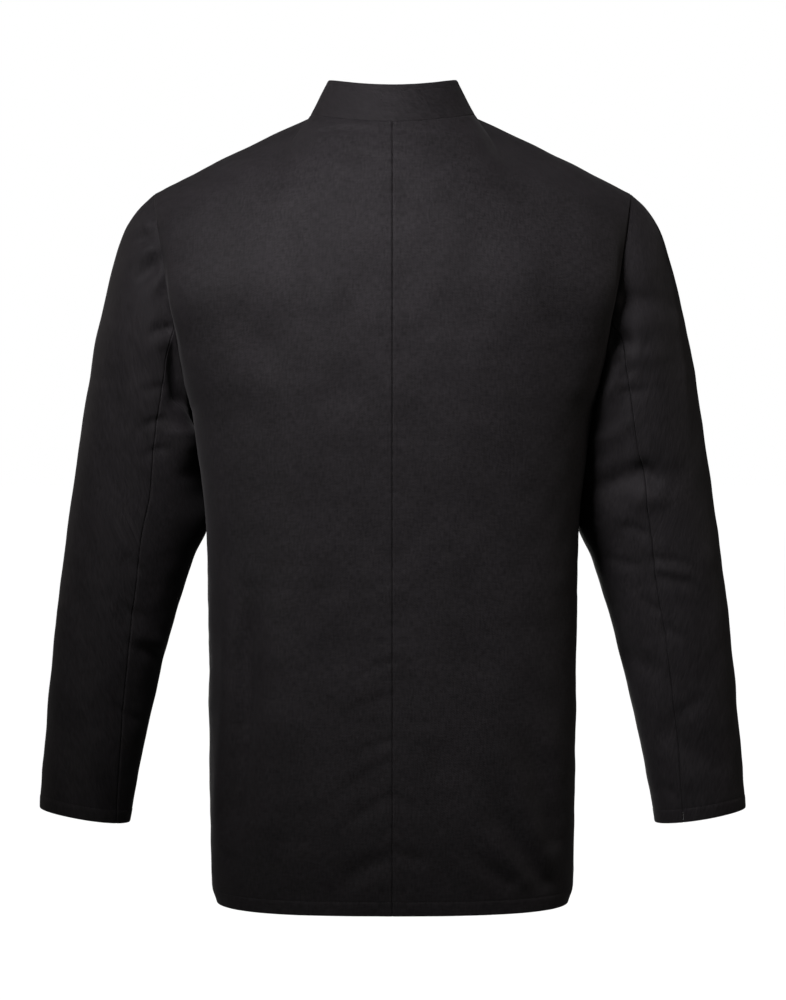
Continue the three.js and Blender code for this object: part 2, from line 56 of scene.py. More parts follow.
# Body and neck
HEM_Z = -753
UNDERARM_Z = -280
UNDERARM_X = 193
SHOULDER_SEAM_Y = -8
SHOULDER_TIP = (230, SHOULDER_SEAM_Y, -71)
SHOULDER_BOW = 1.5
NECK_HALF_WIDTH = 79
NECK_HALF_DEPTH = 58
NECK_BACK_Z = -4
NECK_SIDE_Z = 5.5
NECK_FRONT_Z = -66
NECK_SHARE = {"back": 0.36, "front": 0.42}
SQUARENESS = {"back": 2.7, "front": 2.4}
CENTRE_BEND = {"back": 3, "front": 2.4}
TOP_BLEND = 3.5

# Stand collar
COLLAR_HEIGHT = 37
COLLAR_LEAN_SIDE = 17
COLLAR_LEAN_BACK = 11
COLLAR_LEAN_FRONT = 5
COLLAR_FRONT_GAP = 5
COLLAR_CORNER = 16
COLLAR_TUCK = 1.6

# Double-breasted front
WRAP_WIDTH = 86
WRAP_TOP_DROP = 12
WRAP_LIFT = 2.5
WRAP_RAMP = (96, 150)
WRAP_FADE = (10, 56)

# Buttons
BUTTON_RADIUS = 9
BUTTON_HEIGHT = 3.4
BUTTON_COLUMN_X = 68
BUTTON_TOP_Z = -108
BUTTON_PITCH = 108
BUTTON_ROWS = 5

HALF_TURN = math.pi
QUARTER_TURN = math.pi / 2
SEAM_TURN = math.acos(SHOULDER_SEAM_Y / NECK_HALF_DEPTH)
OUTWARD = {"back": 1, "front": -1}

# How far the body's bends are eased, as shares of the way across and up it, from where to where up it,
# and the weights of the eased samples
NECK_EASE = 0.12
NECK_EASE_RISE = (1, 1.3)
NECK_EASE_DROP = 0.3
UNDERARM_EASE = 0.13
UNDERARM_EASE_REACH = (0.02, 0.2)
EASE_SAMPLES = ((-1, 1 / 9), (-0.5, 2 / 9), (0, 3 / 9), (0.5, 2 / 9), (1, 1 / 9))

# The step that tries a surface's direction, in its own two numbers, how finely a place on it is searched,
# and how many points measure a curve
FACING_STEP = 0.002
SEARCH_HALVINGS = 18
CURVE_TRIES = 400
NECK_TRIES = 200

# Cloth meshes: even spacing of the grid lines, and close lines beside the edges
PITCH = 3.2
COLLAR_PITCH = 2.5
SEAM_LINES = (0.5, 1.1, 1.9, 3, 4.8, 7.5, 9, 10.5)
HEM_LINES = (0.6, 1.6, 3.5, 6, 9, 11.4, 12.4, 13, 13.6, 14.6, 16)
FREE_LINES = (0.6, 1.6, 3.6, 5.2, 5.8, 6.4, 7.6)

# Distances of the stitch lines from their edges
HEM_STITCH = 13
FREE_STITCH = 5.8

# Where the grid lines are measured: across the panels, up the panels, and down the sleeve
ROWS_ACROSS = 0.5
COLUMNS_UP = 0.6
SHARES_DOWN = 0.4

# Half of a button's outline, as shares of its radius and height, from its back round to its front
BUTTON_PROFILE = (
    (0, 0),
    (0.84, 0),
    (0.95, 0.12),
    (1, 0.42),
    (0.98, 0.72),
    (0.9, 0.94),
    (0.82, 1),
    (0.74, 0.95),
    (0.66, 0.76),
    (0.56, 0.68),
    (0, 0.64),
)
BUTTON_SEAT = 0.3
HOLE_RADIUS = 0.95
HOLE_OFFSET = 1.7
WELL_HEIGHT = 0.7
STRAND_STEP = 0.45
STRAND_PAST = 1.6
STRAND_SIZE = (0.55, 1)
BUTTON_STEPS = 40
HOLE_SEGMENTS = 12

# Buttonholes: how far each runs past its button's middle towards the free edge, and its stitches
BUTTONHOLE_PAST = 3
BUTTONHOLE_STEP = 0.75
BUTTONHOLE_BAR = 1.9
BUTTONHOLE_THREAD = 0.5
BUTTONHOLE_SPREAD = 0.62

# Studio, in metres and watts: the lights are rows of name, place, target, size, power, spread and colour
FLOOR_Z = -1.4
FLOOR_SIZE = 30
WORLD_SEEN = 1
WORLD_LIGHT = 0.07
FLOOR_LIGHT = 3.4
FLOOR_THROWN = 0.12
FLOOR_LIGHT_ANGLE = 60
LIGHTS = (
    ("key", (0.45, 0.95, 0.62), (0, 0.1, -0.18), 0.45, 6.2, 46, "#fffaff"),
    ("fill", (-1.6, 3, 0.3), (0, 0.1, -0.25), 1.6, 2.1, 100, "#fffff0"),
    ("left fill", (1.8, 2.6, 0), (0.2, 0, -0.5), 1.2, 3.2, 60, "#fffff0"),
    ("camera fill", (0.1, 3.3, 0.5), (0, 0.1, -0.25), 1, 0.3, 60, "#fffff0"),
    ("rim left", (1.6, -0.9, 0.2), (0.3, 0, -0.4), 1, 2.6, 120, "#fff4ec"),
    ("rim right", (-1.8, 0.2, 0.1), (-0.3, 0, -0.35), 1, 7, 120, "#fff4ec"),
    ("front fill", (0.5, -3, -0.4), (0, -0.1, -0.35), 1.4, 9, 100, "#fffffa"),
)
CAMERA_PLACE = (-0.0005, 3.5, -0.23)
CAMERA_DOWN = 2.22
CAMERA_LENS = 130.43
CAMERA_SENSOR = 36


def named_columns(names, rows):
    """A table as one array for each named column."""
    return {name: np.array(column, float) for name, column in zip(names.split(), zip(*rows))}


# Level sections of the body from the hem up to the underarm
BODY_SECTIONS = named_columns(
    "z half_width back front",
    (
        (-753, 174, 118, 134),
        (-733, 175, 118, 134),
        (-675, 176, 117, 134),
        (-597, 177, 115, 132),
        (-501, 177.5, 113, 128),
        (-443, 178.5, 114, 127),
        (-395, 179.5, 116, 128),
        (-364, 182, 118, 129),
        (-327, 186.5, 121, 130),
        (UNDERARM_Z, UNDERARM_X, 124, 131),
    ),
)

# Rings of a sleeve from the armhole to the cuff, each through an outer and an inner point
SLEEVE_RINGS = named_columns(
    "down out_x out_y out_z in_x in_y in_z depth",
    (
        (0, 230, -8, -71, 193, 0, -280, 60),
        (0.035, 245, -8, -85, 194.2, -2, -284, 62),
        (0.075, 258, -8, -105, 193.4, -4, -289, 64),
        (0.125, 268, -8, -133, 191.2, -7, -296, 66),
        (0.19, 277.5, -9, -171, 189.8, -12, -305, 67),
        (0.28, 289, -10, -224, 186.8, -20, -326, 67),
        (0.38, 299.5, -12, -288, 182.4, -27, -358, 66),
        (0.47, 308.5, -14, -346, 179.8, -31, -391, 63),
        (0.56, 317, -16, -404, 195, -32, -426, 60),
        (0.69, 327, -20, -482, 218, -32, -501, 55),
        (0.82, 335.5, -26, -559, 236.5, -32, -578, 50),
        (0.93, 342, -30, -624, 250, -33, -643, 47),
        (1, 345.5, -32, -667, 257, -34, -682, 45),
    ),
)

# The long seams of a sleeve, in degrees round its rings from the outer point over the back
SLEEVE_SEAMS = named_columns(
    "down left right front",
    (
        (0, 104, 102, 240),
        (0.06, 110, 103, 240),
        (0.19, 109, 102, 240),
        (0.34, 103, 97, 240),
        (0.43, 100.5, 90.5, 240),
        (0.5, 99, 91.5, 240),
        (0.6, 106, 98.5, 240),
        (0.72, 114, 102, 240),
        (0.84, 123, 107.5, 240),
        (1, 138, 116, 240),
    ),
)

# The sleeve's cloth pressed in under the arm: places down and round the sleeve, with their reach
PINCHES = named_columns(
    "down down_reach turn turn_reach height",
    (
        (0.1, 0.06, 205, 16, 7),
        (0.34, 0.07, 186, 24, 3.2),
    ),
)
PINCH_START = 0.03

# Folds of the cloth: ridges (depth over 0) and troughs (under 0) along a bowed line, on the back.
# The steep number is the share of the width on the upper side, so that under 1 that side is steeper.
# Each fold is strongest where it starts and dies away towards its other end.
BODY_BACK_FOLDS = named_columns(
    "from_x from_z to_x to_z bow width steep depth",
    (
        # lower left of the back: one long hanging fold and its ridges
        (140, -560, 138, -448, 0, 12, 1, -8),
        (141, -578, 154, -700, 0, 12, 1, -8),
        (104, -660, 112, -430, 4, 20, 1, 2.5),
        (156, -560, 153, -448, 0, 9, 1, 5),
        (157, -574, 166, -690, 0, 9, 1, 5),
        # lower right: folds that fan out of the side seam
        (-148, -723, -87, -631, -3, 10, 1, -4),
        (-156, -684, -114, -562, 3, 12, 1, -4),
        (-110, -723, -64, -684, -2, 9, 1, -3),
        (-152, -715, -102, -600, -0, 8, 1, 2.5),
        (-125, -723, -68, -654, -0, 8, 1, 2),
        (-166, -680, -146, -540, -0, 12, 1, 2),
        # shoulder blades and the soft hollows beside them
        (186, -168, 86, -166, -8, 34, 1, 7),
        (118, -118, 190, -124, 4, 20, 1, 1.5),
        (84, -96, 72, -190, -3, 13, 1, -3),
        (150, -220, 100, -300, 0, 30, 1, 2),
        (-190, -158, -74, -150, 8, 36, 1, 5),
        (-99, -26, -174, -62, 0, 12, 1, -2.6),
        (-156, -200, -178, -270, 4, 20, 1, -3),
        (-60, -220, -110, -300, 0, 30, 1, 1.6),
        # below the collar
        (66, -13, 14, -15, -3.2, 3, 0.5, -2.2),
        (62, -9, 18, -9, -2, 3, 1, 0.9),
        (38, -36, 8, -41, -2, 5, 0.6, -1.2),
        (-2, -11, -24, -13, 1, 3.4, 0.6, -1),
        (-2, -26, -22, -33, 1, 4, 0.6, -1),
        (-2, -40, -44, -44, 2, 6, 0.6, -1),
        (36, -60, 6, -72, -2, 9, 0.7, -1.2),
        (-8, -70, -60, -92, 4, 12, 0.7, -1.3),
        # pulls along the centre back seam
        (3, -514, 34, -530, 2, 5, 0.6, -0.9),
        (4, -545, 42, -562, 2, 6, 0.6, -0.9),
        (4, -588, 36, -602, 2, 5, 0.6, -0.9),
        (5, -608, 62, -650, 4, 8, 0.6, -1.1),
        (4, -640, 50, -676, 4, 7, 0.6, -1.1),
        (5, -700, 54, -731, 5, 10, 1, -2.6),
        (-4, -690, -36, -702, 2, 7, 1, -1.5),
        (-4, -560, -40, -574, 2, 8, 0.6, -0.7),
        (-4, -640, -34, -652, 2, 7, 0.6, -0.8),
    ),
)

SLEEVE_BACK_FOLDS = named_columns(
    "from_x from_z to_x to_z bow width steep depth",
    (
        # upper left sleeve: pulls that run out of the armhole
        (219, -102, 246, -109, 2, 6, 1, 4),
        (218, -110, 252, -120, 2, 7, 1, -5.5),
        (216, -122, 248, -133, 2, 7, 1, 3.5),
        (212, -131, 250, -161, 3, 9, 0.8, -7),
        (210, -146, 234, -172, 2, 7, 1, 4),
        (212, -140, 204, -190, 2, 7, 1, -5),
        (210, -199, 234, -207, 2, 5, 0.7, -4),
        (206, -212, 232, -222, 2, 6, 1, 2),
        (203, -268, 207, -208, 0, 8, 1, -9),
        (203, -310, 206, -290, 0, 12, 1, 5),
        (203, -300, 198, -345, 0, 13, 1, 7),
        (222, -256, 242, -262, 1, 6, 0.6, -1.8),
        (220, -286, 242, -296, 1, 5, 0.6, -2),
        (218, -314, 238, -322, 1, 5, 0.6, -1.8),
        (272, -250, 240, -300, 5, 16, 1, -1.6),
        # lower left sleeve
        (222, -510, 256, -490, 3, 8, 1, 2.4),
        (220, -522, 252, -505, 3, 8, 0.6, -2.4),
        (252, -420, 232, -438, 2, 6, 0.7, -1.6),
        (258, -466, 236, -478, 2, 6, 0.7, -1.5),
        (264, -566, 240, -582, 2, 5, 0.7, -1.5),
        (300, -400, 282, -560, 6, 14, 1, -1.6),
        (322, -470, 318, -620, 4, 12, 1, 1.6),
        (290, -600, 282, -672, 2, 10, 1, 1.4),
        # upper right sleeve
        (-238, -138, -256, -148, 0, 10, 1, 1.6),
        (-210, -173, -268, -180, -4, 10, 0.9, -5.5),
        (-240, -194, -262, -196, -2, 10, 1, 1.4),
        (-202, -210, -236, -219, -2, 11, 0.8, -8),
        (-235, -226, -258, -226, 0, 8, 1, 2),
        (-219, -232, -228, -250, 0, 8, 1, -4),
        (-225, -260, -246, -258, 1, 6, 0.7, -2),
        (-200, -300, -207, -225, 0, 12, 1, 8),
        (-198, -316, -195, -385, 0, 14, 1, 9),
        (-214, -300, -234, -282, 0, 9, 1, 2),
        (-268, -150, -286, -340, -2, 4, 1, 1.2),
        # right elbow
        (-204, -350, -268, -341, -7, 12, 0.9, -5.5),
        (-240, -334, -260, -354, 0, 9, 0.8, -3),
        (-240, -364, -268, -362, 0, 10, 1, 3),
        (-204, -374, -234, -378, 2, 10, 1, 1.4),
        (-226, -390, -252, -399, 0, 6, 0.7, -1.5),
        (-208, -421, -245, -427, 2, 6, 0.6, -1.6),
        (-252, -421, -291, -430, -2, 7, 0.6, -1.8),
        (-256, -430, -294, -441, -2, 6, 1, 1),
        (-258, -438, -296, -451, -2, 7, 0.6, -1.8),
        (-244, -462, -262, -474, 0, 5, 0.6, -1.4),
        (-264, -488, -284, -500, 0, 6, 0.7, -1.3),
        (-226, -518, -262, -538, -3, 12, 0.8, -3.4),
        (-214, -470, -240, -560, -4, 12, 1, -1.6),
        # right lower sleeve
        (-292, -560, -262, -590, 3, 8, 0.7, -1.5),
        (-273, -592, -313, -625, 3, 14, 0.8, -3.4),
        (-263, -643, -276, -655, 0, 5, 0.7, -1.6),
        (-302, -420, -320, -580, -6, 12, 1, 2),
    ),
)

# Similar folds on the front, which the photograph does not show
BODY_FRONT_FOLDS = named_columns(
    "from_x from_z to_x to_z bow width steep depth",
    (
        (150, -470, 140, -720, 6, 20, 0.7, -4),
        (-152, -440, -138, -690, -6, 20, 0.7, -4),
        (116, -560, 110, -735, -4, 18, 1, 2),
        (-118, -520, -108, -720, 5, 18, 1, 2),
        (180, -170, 150, -300, -8, 18, 1, -4),
        (-180, -170, -150, -300, 8, 18, 1, -4),
        (140, -150, 96, -250, -6, 22, 1, 2.4),
        (-142, -160, -100, -260, 6, 22, 1, 2.4),
        (60, -330, 140, -380, 6, 16, 0.7, -1.4),
        (-64, -340, -142, -400, -6, 16, 0.7, -1.6),
    ),
)

SLEEVE_FRONT_FOLDS = named_columns(
    "from_x from_z to_x to_z bow width steep depth",
    (
        (214, -370, 286, -352, 5, 12, 0.7, -4),
        (222, -420, 300, -396, 5, 10, 0.7, -3),
        (228, -398, 296, -374, 5, 9, 1, 2),
        (-214, -360, -284, -346, -5, 12, 0.7, -4),
        (-224, -415, -298, -388, -5, 10, 0.7, -3),
        (-228, -390, -292, -366, -5, 9, 1, 2),
        (214, -150, 262, -170, 4, 9, 0.7, -2.8),
        (-214, -156, -264, -180, -4, 9, 0.7, -3),
        (216, -126, 250, -134, 2, 6, 0.7, -2.4),
        (-216, -122, -252, -132, -2, 6, 0.7, -2.4),
        (240, -560, 310, -590, 4, 12, 0.7, -1.8),
        (-240, -540, -312, -575, -4, 12, 0.7, -1.8),
        (250, -610, 318, -630, 3, 10, 0.7, -1.6),
        (-256, -600, -322, -622, -3, 10, 0.7, -1.6),
    ),
)

BODY_FOLDS = ((BODY_BACK_FOLDS, 1), (BODY_FRONT_FOLDS, -1))
SLEEVE_FOLDS = ((SLEEVE_BACK_FOLDS, 1), (SLEEVE_FRONT_FOLDS, -1))

# The body's folds fade out towards the armhole and the sleeve's are weaker there: shares of the way across
# and down, and the strength that is left of a sleeve's fold at the seam
BODY_FOLD_FADE = 0.12
SLEEVE_FOLD_FADE = 0.03
SLEEVE_FOLD_LEFT = 0.3
FOLD_FACING = (0, 0.45)
FOLD_FULL = 0.5
FOLD_DYING = 0.75

# How far the hem of the body turns in and up to where, on its back and front and then at its sides
HEM_TURN_IN = (5, 42)
HEM_SIDE_IN = (4, 9)
HEM_FACING = (0, 0.6)

# Faint unevenness all over the cloth, as waves that cross one another
SOFT_WAVES = named_columns(
    "length angle height offset",
    (
        (97, 12, 0.32, 5.1),
        (74, 64, 0.34, 0),
        (53, 118, 0.26, 1.9),
        (37, 37, 0.16, 4.2),
        (26, 86, 0.11, 2.6),
        (19, 141, 0.07, 0.8),
    ),
)

# How the cloth lies beside each kind of edge. The lift is a step up within its reach, over a softness;
# the groove is where the edge itself turns in; the stitch line is drawn in; puckers run off the edge.
EDGE_COLUMNS = "lift reach soft groove groove_reach stitch pull pucker".split()
EDGE_KINDS = {
    kind: dict(zip(EDGE_COLUMNS, row))
    for kind, *row in (
        ("seam", 0.15, 6, 4, 0.9, 0.8, 0, 0, 0.25),
        ("centre", 0.08, 6, 4, 0.85, 0.75, 0, 0, 0.4),
        ("shoulder", 0.1, 6, 4, 0.35, 0.8, 0, 0, 0.05),
        ("armhole_over", 0.35, 5, 5, 0.5, 0.7, 0, 0, 0.1),
        ("armhole_under", -0.7, 3, 6, 0.1, 1, 0, 0, 0.3),
        ("hem", 0.3, 13, 2.4, 0.3, 0.8, HEM_STITCH, 0.3, 0.25),
        ("free", 0.3, 6.2, 1.4, 0.3, 0.8, FREE_STITCH, 0.3, 0.1),
        ("collar_top", 0.12, 5.2, 2, 0.4, 0.8, 5, 0.2, 0.05),
    )
}

# The grain of the cloth as it is drawn, in metres
THREAD_WIDTH = 0.0017
THREAD_LENGTH = 0.007

PUCKER_LENGTH = 17
PUCKER_REACH = 9

# How deep the body's edge turns in beside the sleeve, and at its other end seams
RIM_DEPTH = 8
RIM_LEAST = 0.5

# Near the shoulder tip the armhole's step fades out, by the way up the body and by degrees round the sleeve
TIP_FADE_UP = 0.14
TIP_FADE_TURN = (6, 34)
STITCH_PULL_REACH = 0.8

# Where one kind of edge gives way to the next: up from the underarm, beside the neck's corner and at the wrap
ARMHOLE_START = (1, 1.02)
EDGE_CHANGE = 0.02


def linear(colour):
    """A hex colour as the linear red, green and blue that Blender works with."""
    channels = [int(colour[i : i + 2], 16) / 255 for i in (1, 3, 5)]
    return [c / 12.92 if c <= 0.04045 else ((c + 0.055) / 1.055) ** 2.4 for c in channels]


def mix(start, end, share):
    return start + (end - start) * share


def ease(value, start, end):
    """0 before the start, 1 past the end and smooth between."""
    share = np.clip((value - start) / (end - start), 0, 1)
    return share * share * (3 - 2 * share)


def joined(*coordinates):
    """Points from their separate x, y and z."""
    return np.stack(np.broadcast_arrays(*coordinates), axis=-1).astype(float)


def unit(vectors):
    return vectors / np.linalg.norm(vectors, axis=-1, keepdims=True)


def table_values(table, key, at, column):
    """One column of a table at places between its rows, on a smooth curve."""
    keys, values = table[key], table[column]
    rows = np.arange(len(keys))
    before = np.maximum(rows - 1, 0)
    after = np.minimum(rows + 1, len(keys) - 1)
    slopes = (values[after] - values[before]) / (keys[after] - keys[before])
    row = np.clip(np.searchsorted(keys, at) - 1, 0, len(keys) - 2)
    span = keys[row + 1] - keys[row]
    share = (at - keys[row]) / span
    cube, square = share**3, share**2
    return (
        values[row] * (2 * cube - 3 * square + 1)
        + slopes[row] * span * (cube - 2 * square + share)
        + values[row + 1] * (3 * square - 2 * cube)
        + slopes[row + 1] * span * (cube - square)
    )


def neck_point(turn):
    """Points of the neck ring; the turn is 0 at the centre back and a half turn at the centre front."""
    end_z = np.where(turn < QUARTER_TURN, NECK_BACK_Z, NECK_FRONT_Z)
    z = mix(end_z, NECK_SIDE_Z, np.sin(turn) ** 2)
    return joined(NECK_HALF_WIDTH * np.sin(turn), NECK_HALF_DEPTH * np.cos(turn), z)


def top_point(face, across):
    """The neck ring and then the shoulder seam, the upper edge of a body panel."""
    across = np.asarray(across, float)
    neck_share = NECK_SHARE[face]
    centre_turn = 0 if face == "back" else HALF_TURN
    neck = neck_point(mix(centre_turn, SEAM_TURN, np.clip(across / neck_share, 0, 1)))
    share = np.clip((across - neck_share) / (1 - neck_share), 0, 1)[..., None]
    seam = mix(neck_point(np.array(SEAM_TURN)), np.array(SHOULDER_TIP, float), share)
    seam[..., 2:] += SHOULDER_BOW * 4 * share * (1 - share)
    return np.where((across <= neck_share)[..., None], neck, seam)


def ring_point(down, angle):
    """Points of the sleeve rings; the angle is 0 at the outer point and a quarter turn at the back."""
    outer, inner = (
        joined(*(table_values(SLEEVE_RINGS, "down", down, f"{end}_{axis}") for axis in "xyz"))
        for end in ("out", "in")
    )
    points = (outer + inner) / 2 + (outer - inner) / 2 * np.cos(angle)[..., None]
    points[..., 1] += table_values(SLEEVE_RINGS, "down", down, "depth") * np.sin(angle)
    return points


def plain_body_point(face, across, up):
    """Points of the body's left half; across runs from the centre to the side,
    and up runs from the hem (0) past the underarm (1) to the neck and shoulder (2)."""
    outward = OUTWARD[face]
    angle = across * QUARTER_TURN
    power = 2 / SQUARENESS[face]
    wide = np.sin(angle) ** power
    deep = np.maximum(np.cos(angle), 0) ** power
    level = mix(HEM_Z, UNDERARM_Z, np.minimum(up, 1))
    half_width = table_values(BODY_SECTIONS, "z", level, "half_width")
    depth = table_values(BODY_SECTIONS, "z", level, face)
    lower = joined(half_width * wide, outward * depth * deep, level)
    rise = np.clip(up - 1, 0, 1)
    top, start, end = top_point(face, across), top_point(face, 0), top_point(face, 1)
    edge = ring_point(np.zeros_like(rise), outward * HALF_TURN * (1 - rise))
    centre_y = mix(outward * BODY_SECTIONS[face][-1], start[1], rise ** CENTRE_BEND[face])
    centre_z = mix(UNDERARM_Z, start[2], rise)
    blend = rise**TOP_BLEND
    low = across**2
    upper = joined(
        edge[..., 0] * wide + blend * (top[..., 0] - end[0] * wide),
        mix(edge[..., 1], centre_y, deep) + blend * (top[..., 1] - mix(end[1], start[1], deep)),
        mix(centre_z, edge[..., 2], low) + blend * (top[..., 2] - mix(start[2], end[2], low)),
    )
    return np.where((up <= 1)[..., None], lower, upper)


def body_point(face, across, up):
    """Points of the body's left half, with the bends below the neck's corner and at the underarm eased."""
    across, up = np.broadcast_arrays(np.asarray(across, float), np.asarray(up, float))
    below_neck = ease(up, *NECK_EASE_RISE) * ease(2 - up, 0, NECK_EASE_DROP)
    step_across = NECK_EASE * below_neck * 4 * across * (1 - across)
    step_up = UNDERARM_EASE * (1 - across**4) * (1 - ease(np.abs(up - 1), *UNDERARM_EASE_REACH))
    points = 0
    for share, weight in EASE_SAMPLES:
        moved_across = np.clip(across + share * step_across, 0, 1)
        points = points + weight * plain_body_point(face, moved_across, up + share * step_up)
    return points


def facing(surface, u, v, u_ends, v_ends):
    """The directions that a surface faces, from how it moves with each of its two numbers."""
    u_before, u_after = np.maximum(u - FACING_STEP, u_ends[0]), np.minimum(u + FACING_STEP, u_ends[1])
    v_before, v_after = np.maximum(v - FACING_STEP, v_ends[0]), np.minimum(v + FACING_STEP, v_ends[1])
    along_u = surface(u_after, v) - surface(u_before, v)
    along_v = surface(u, v_after) - surface(u, v_before)
    return unit(np.cross(along_v, along_u))


def fold_height(points, normals, tables):
    """How far the folds of the tables lift the cloth."""
    x, z = points[..., 0], points[..., 2]
    height = np.zeros_like(x)
    for folds, outward in tables:
        shown = ease(outward * normals[..., 1], *FOLD_FACING)
        for from_x, from_z, to_x, to_z, bow, width, steep, depth in zip(*folds.values()):
            length = math.hypot(to_x - from_x, to_z - from_z)
            run_x, run_z = (to_x - from_x) / length, (to_z - from_z) / length
            forward = (x - from_x) * run_x + (z - from_z) * run_z
            along = np.clip(forward / length, 0, 1)
            beside = (z - from_z) * run_x - (x - from_x) * run_z - bow * 4 * along * (1 - along)
            past = forward - along * length
            reach = width * np.where(beside * run_x > 0, steep, 1)
            left = 1 - FOLD_DYING * ease(along, FOLD_FULL, 1)
            height += shown * depth * left * np.exp(-((beside / reach) ** 2) - (past / width) ** 2)
    return height


def wave_height(points):
    """The faint unevenness of the cloth at each point."""
    sideways = points[..., 0] + 0.8 * points[..., 1]
    height = np.zeros_like(sideways)
    for length, angle, lift, offset in zip(*SOFT_WAVES.values()):
        turn = math.radians(angle)
        run = sideways * math.cos(turn) + points[..., 2] * math.sin(turn)
        swell = 0.6 + 0.4 * np.sin(run / (2.7 * length) + points[..., 2] / 61 + offset)
        beat = 2 * math.pi * run / length + offset + 0.6 * np.sin(points[..., 0] / 43)
        height += lift * swell * np.sin(beat)
    return height


def edge_height(kind, distance, run):
    """How far the cloth lies up or down near an edge; the run goes along the edge."""
    edge = EDGE_KINDS[kind]
    half_soft = edge["soft"] / 2
    height = edge["lift"] * (1 - ease(distance, edge["reach"] - half_soft, edge["reach"] + half_soft))
    height = height - edge["groove"] * np.exp(-((distance / edge["groove_reach"]) ** 2))
    if edge["stitch"]:
        height = height - edge["pull"] * np.exp(-(((distance - edge["stitch"]) / STITCH_PULL_REACH) ** 2))
    beat = 2 * math.pi * run / PUCKER_LENGTH + 1.9 * np.sin(run / 23) + 1.3 * np.sin(run / 57 + 1)
    strength = 0.55 + 0.45 * np.sin(run / 41 + 2.1)
    beside = (1 - np.exp(-((distance / 2) ** 2))) * np.exp(-distance / PUCKER_REACH)
    return height + edge["pucker"] * beside * strength * np.sin(beat)


def lengths_along(points):
    """The distance run along a line of points, at each of them; the last axis but one runs along the line."""
    steps = np.linalg.norm(np.diff(points, axis=-2), axis=-1)
    start = np.zeros((*steps.shape[:-1], 1))
    return np.concatenate([start, np.cumsum(steps, axis=-1)], axis=-1)


def line_places(length, start_lines, end_lines, pitch=PITCH):
    """Distances of grid lines along a length: close ones from each end, and even ones between."""
    first = np.array((0, *start_lines), float)
    last = length - np.array((0, *end_lines), float)[::-1]
    count = max(round((last[0] - first[-1]) / pitch), 1)
    between = mix(first[-1], last[0], np.arange(1, count) / count)
    return np.concatenate([first, between, last])


def numbers_at(curve, start, end, start_lines, end_lines):
    """The numbers between start and end at which the grid lines cross a curve."""
    tries = np.linspace(start, end, CURVE_TRIES)
    reached = lengths_along(curve(tries))
    return np.interp(line_places(reached[-1], start_lines, end_lines), reached, tries)


def search(start, end, aim, measure):
    """Where between start and end a rising measure reaches its aim."""
    low = np.full(np.shape(aim), float(start))
    high = np.full(np.shape(aim), float(end))
    for _ in range(SEARCH_HALVINGS):
        middle = (low + high) / 2
        below = measure(middle) < aim
        low = np.where(below, middle, low)
        high = np.where(below, high, middle)
    return (low + high) / 2


def across_at(distance, up):
    """The number across the front at a distance from the centre line."""
    return search(0, 1, distance, lambda across: plain_body_point("front", across, up)[..., 0])


def wrap_lift(points):
    """How far the over front lies outside the under front."""
    over_under = 1 - ease(points[..., 0], *WRAP_RAMP)
    return WRAP_LIFT * over_under * ease(-points[..., 2], *WRAP_FADE)


def no_lift(points):
    """What lies on nothing else isn't lifted."""
    return 0


def body_cloth(side, face, across, up, lift=no_lift):
    """Points of the body cloth and the directions that they face, before the relief of its edges.
    The side is 1 for the wearer's left and -1 for the right. A negative across is past the centre line."""
    half = np.where(across < 0, -side, side)[..., None] * np.array((1, 0, 0)) + np.array((0, 1, 1))
    across = np.abs(across)
    normals = facing(lambda u, v: body_point(face, u, v), across, up, (0, 1), (0, 2))
    normals = normals * OUTWARD[face] * half
    points = body_point(face, across, up) * half
    fade = np.where(up > 1, ease(1 - across, 0, BODY_FOLD_FADE), 1)
    height = fold_height(points, normals, BODY_FOLDS) * fade + lift(points)
    broad = ease(np.abs(normals[..., 1]), *HEM_FACING)
    for (turn_in, reach), share in ((HEM_TURN_IN, broad), (HEM_SIDE_IN, 1 - broad)):
        height = height - share * turn_in * np.exp(-(((points[..., 2] - HEM_Z) / reach) ** 2))
    return points + normals * height[..., None], normals


def pinch_height(down, angle):
    """How far the sleeve's cloth stands in against the body just under the arm."""
    height = 0
    for place, reach, turn, turn_reach, rise in zip(*PINCHES.values()):
        around = (np.degrees(angle) - turn) / turn_reach
        along = (down - place) / reach
        height = height + rise * np.exp(-(around**2) - along**2)
    return height * ease(down, 0, PINCH_START)


def sleeve_cloth(side, down, angle):
    """Points of the sleeve cloth and the directions that they face, before the relief of its edges."""
    half = np.array((side, 1, 1))
    turns = (-HALF_TURN, HALF_TURN * 2)
    normals = facing(lambda u, v: ring_point(v, u), angle, down, turns, (0, 1)) * half
    points = ring_point(down, angle) * half
    fade = mix(SLEEVE_FOLD_LEFT, 1, ease(down, 0, SLEEVE_FOLD_FADE))
    height = fold_height(points, normals, SLEEVE_FOLDS) * fade + pinch_height(down, angle)
    return points + normals * height[..., None], normals


def finished(points, normals, edges):
    """The cloth with the relief of its edges and its faint unevenness, and its flat layout.
    Each edge is a side of the grid, a kind and a weight."""
    run_across = lengths_along(points)
    run_down = np.swapaxes(lengths_along(np.swapaxes(points, 0, 1)), 0, 1)
    sides = {
        "start": (run_across, run_down),
        "end": (run_across[:, -1:] - run_across, run_down),
        "first": (run_down, run_across),
        "last": (run_down[-1:] - run_down, run_across),
    }
    height = wave_height(points)
    for side, kind, weight in edges:
        distance, run = sides[side]
        height = height + weight * edge_height(kind, distance, run)
    return points + normals * height[..., None], normals, joined(run_across, run_down)


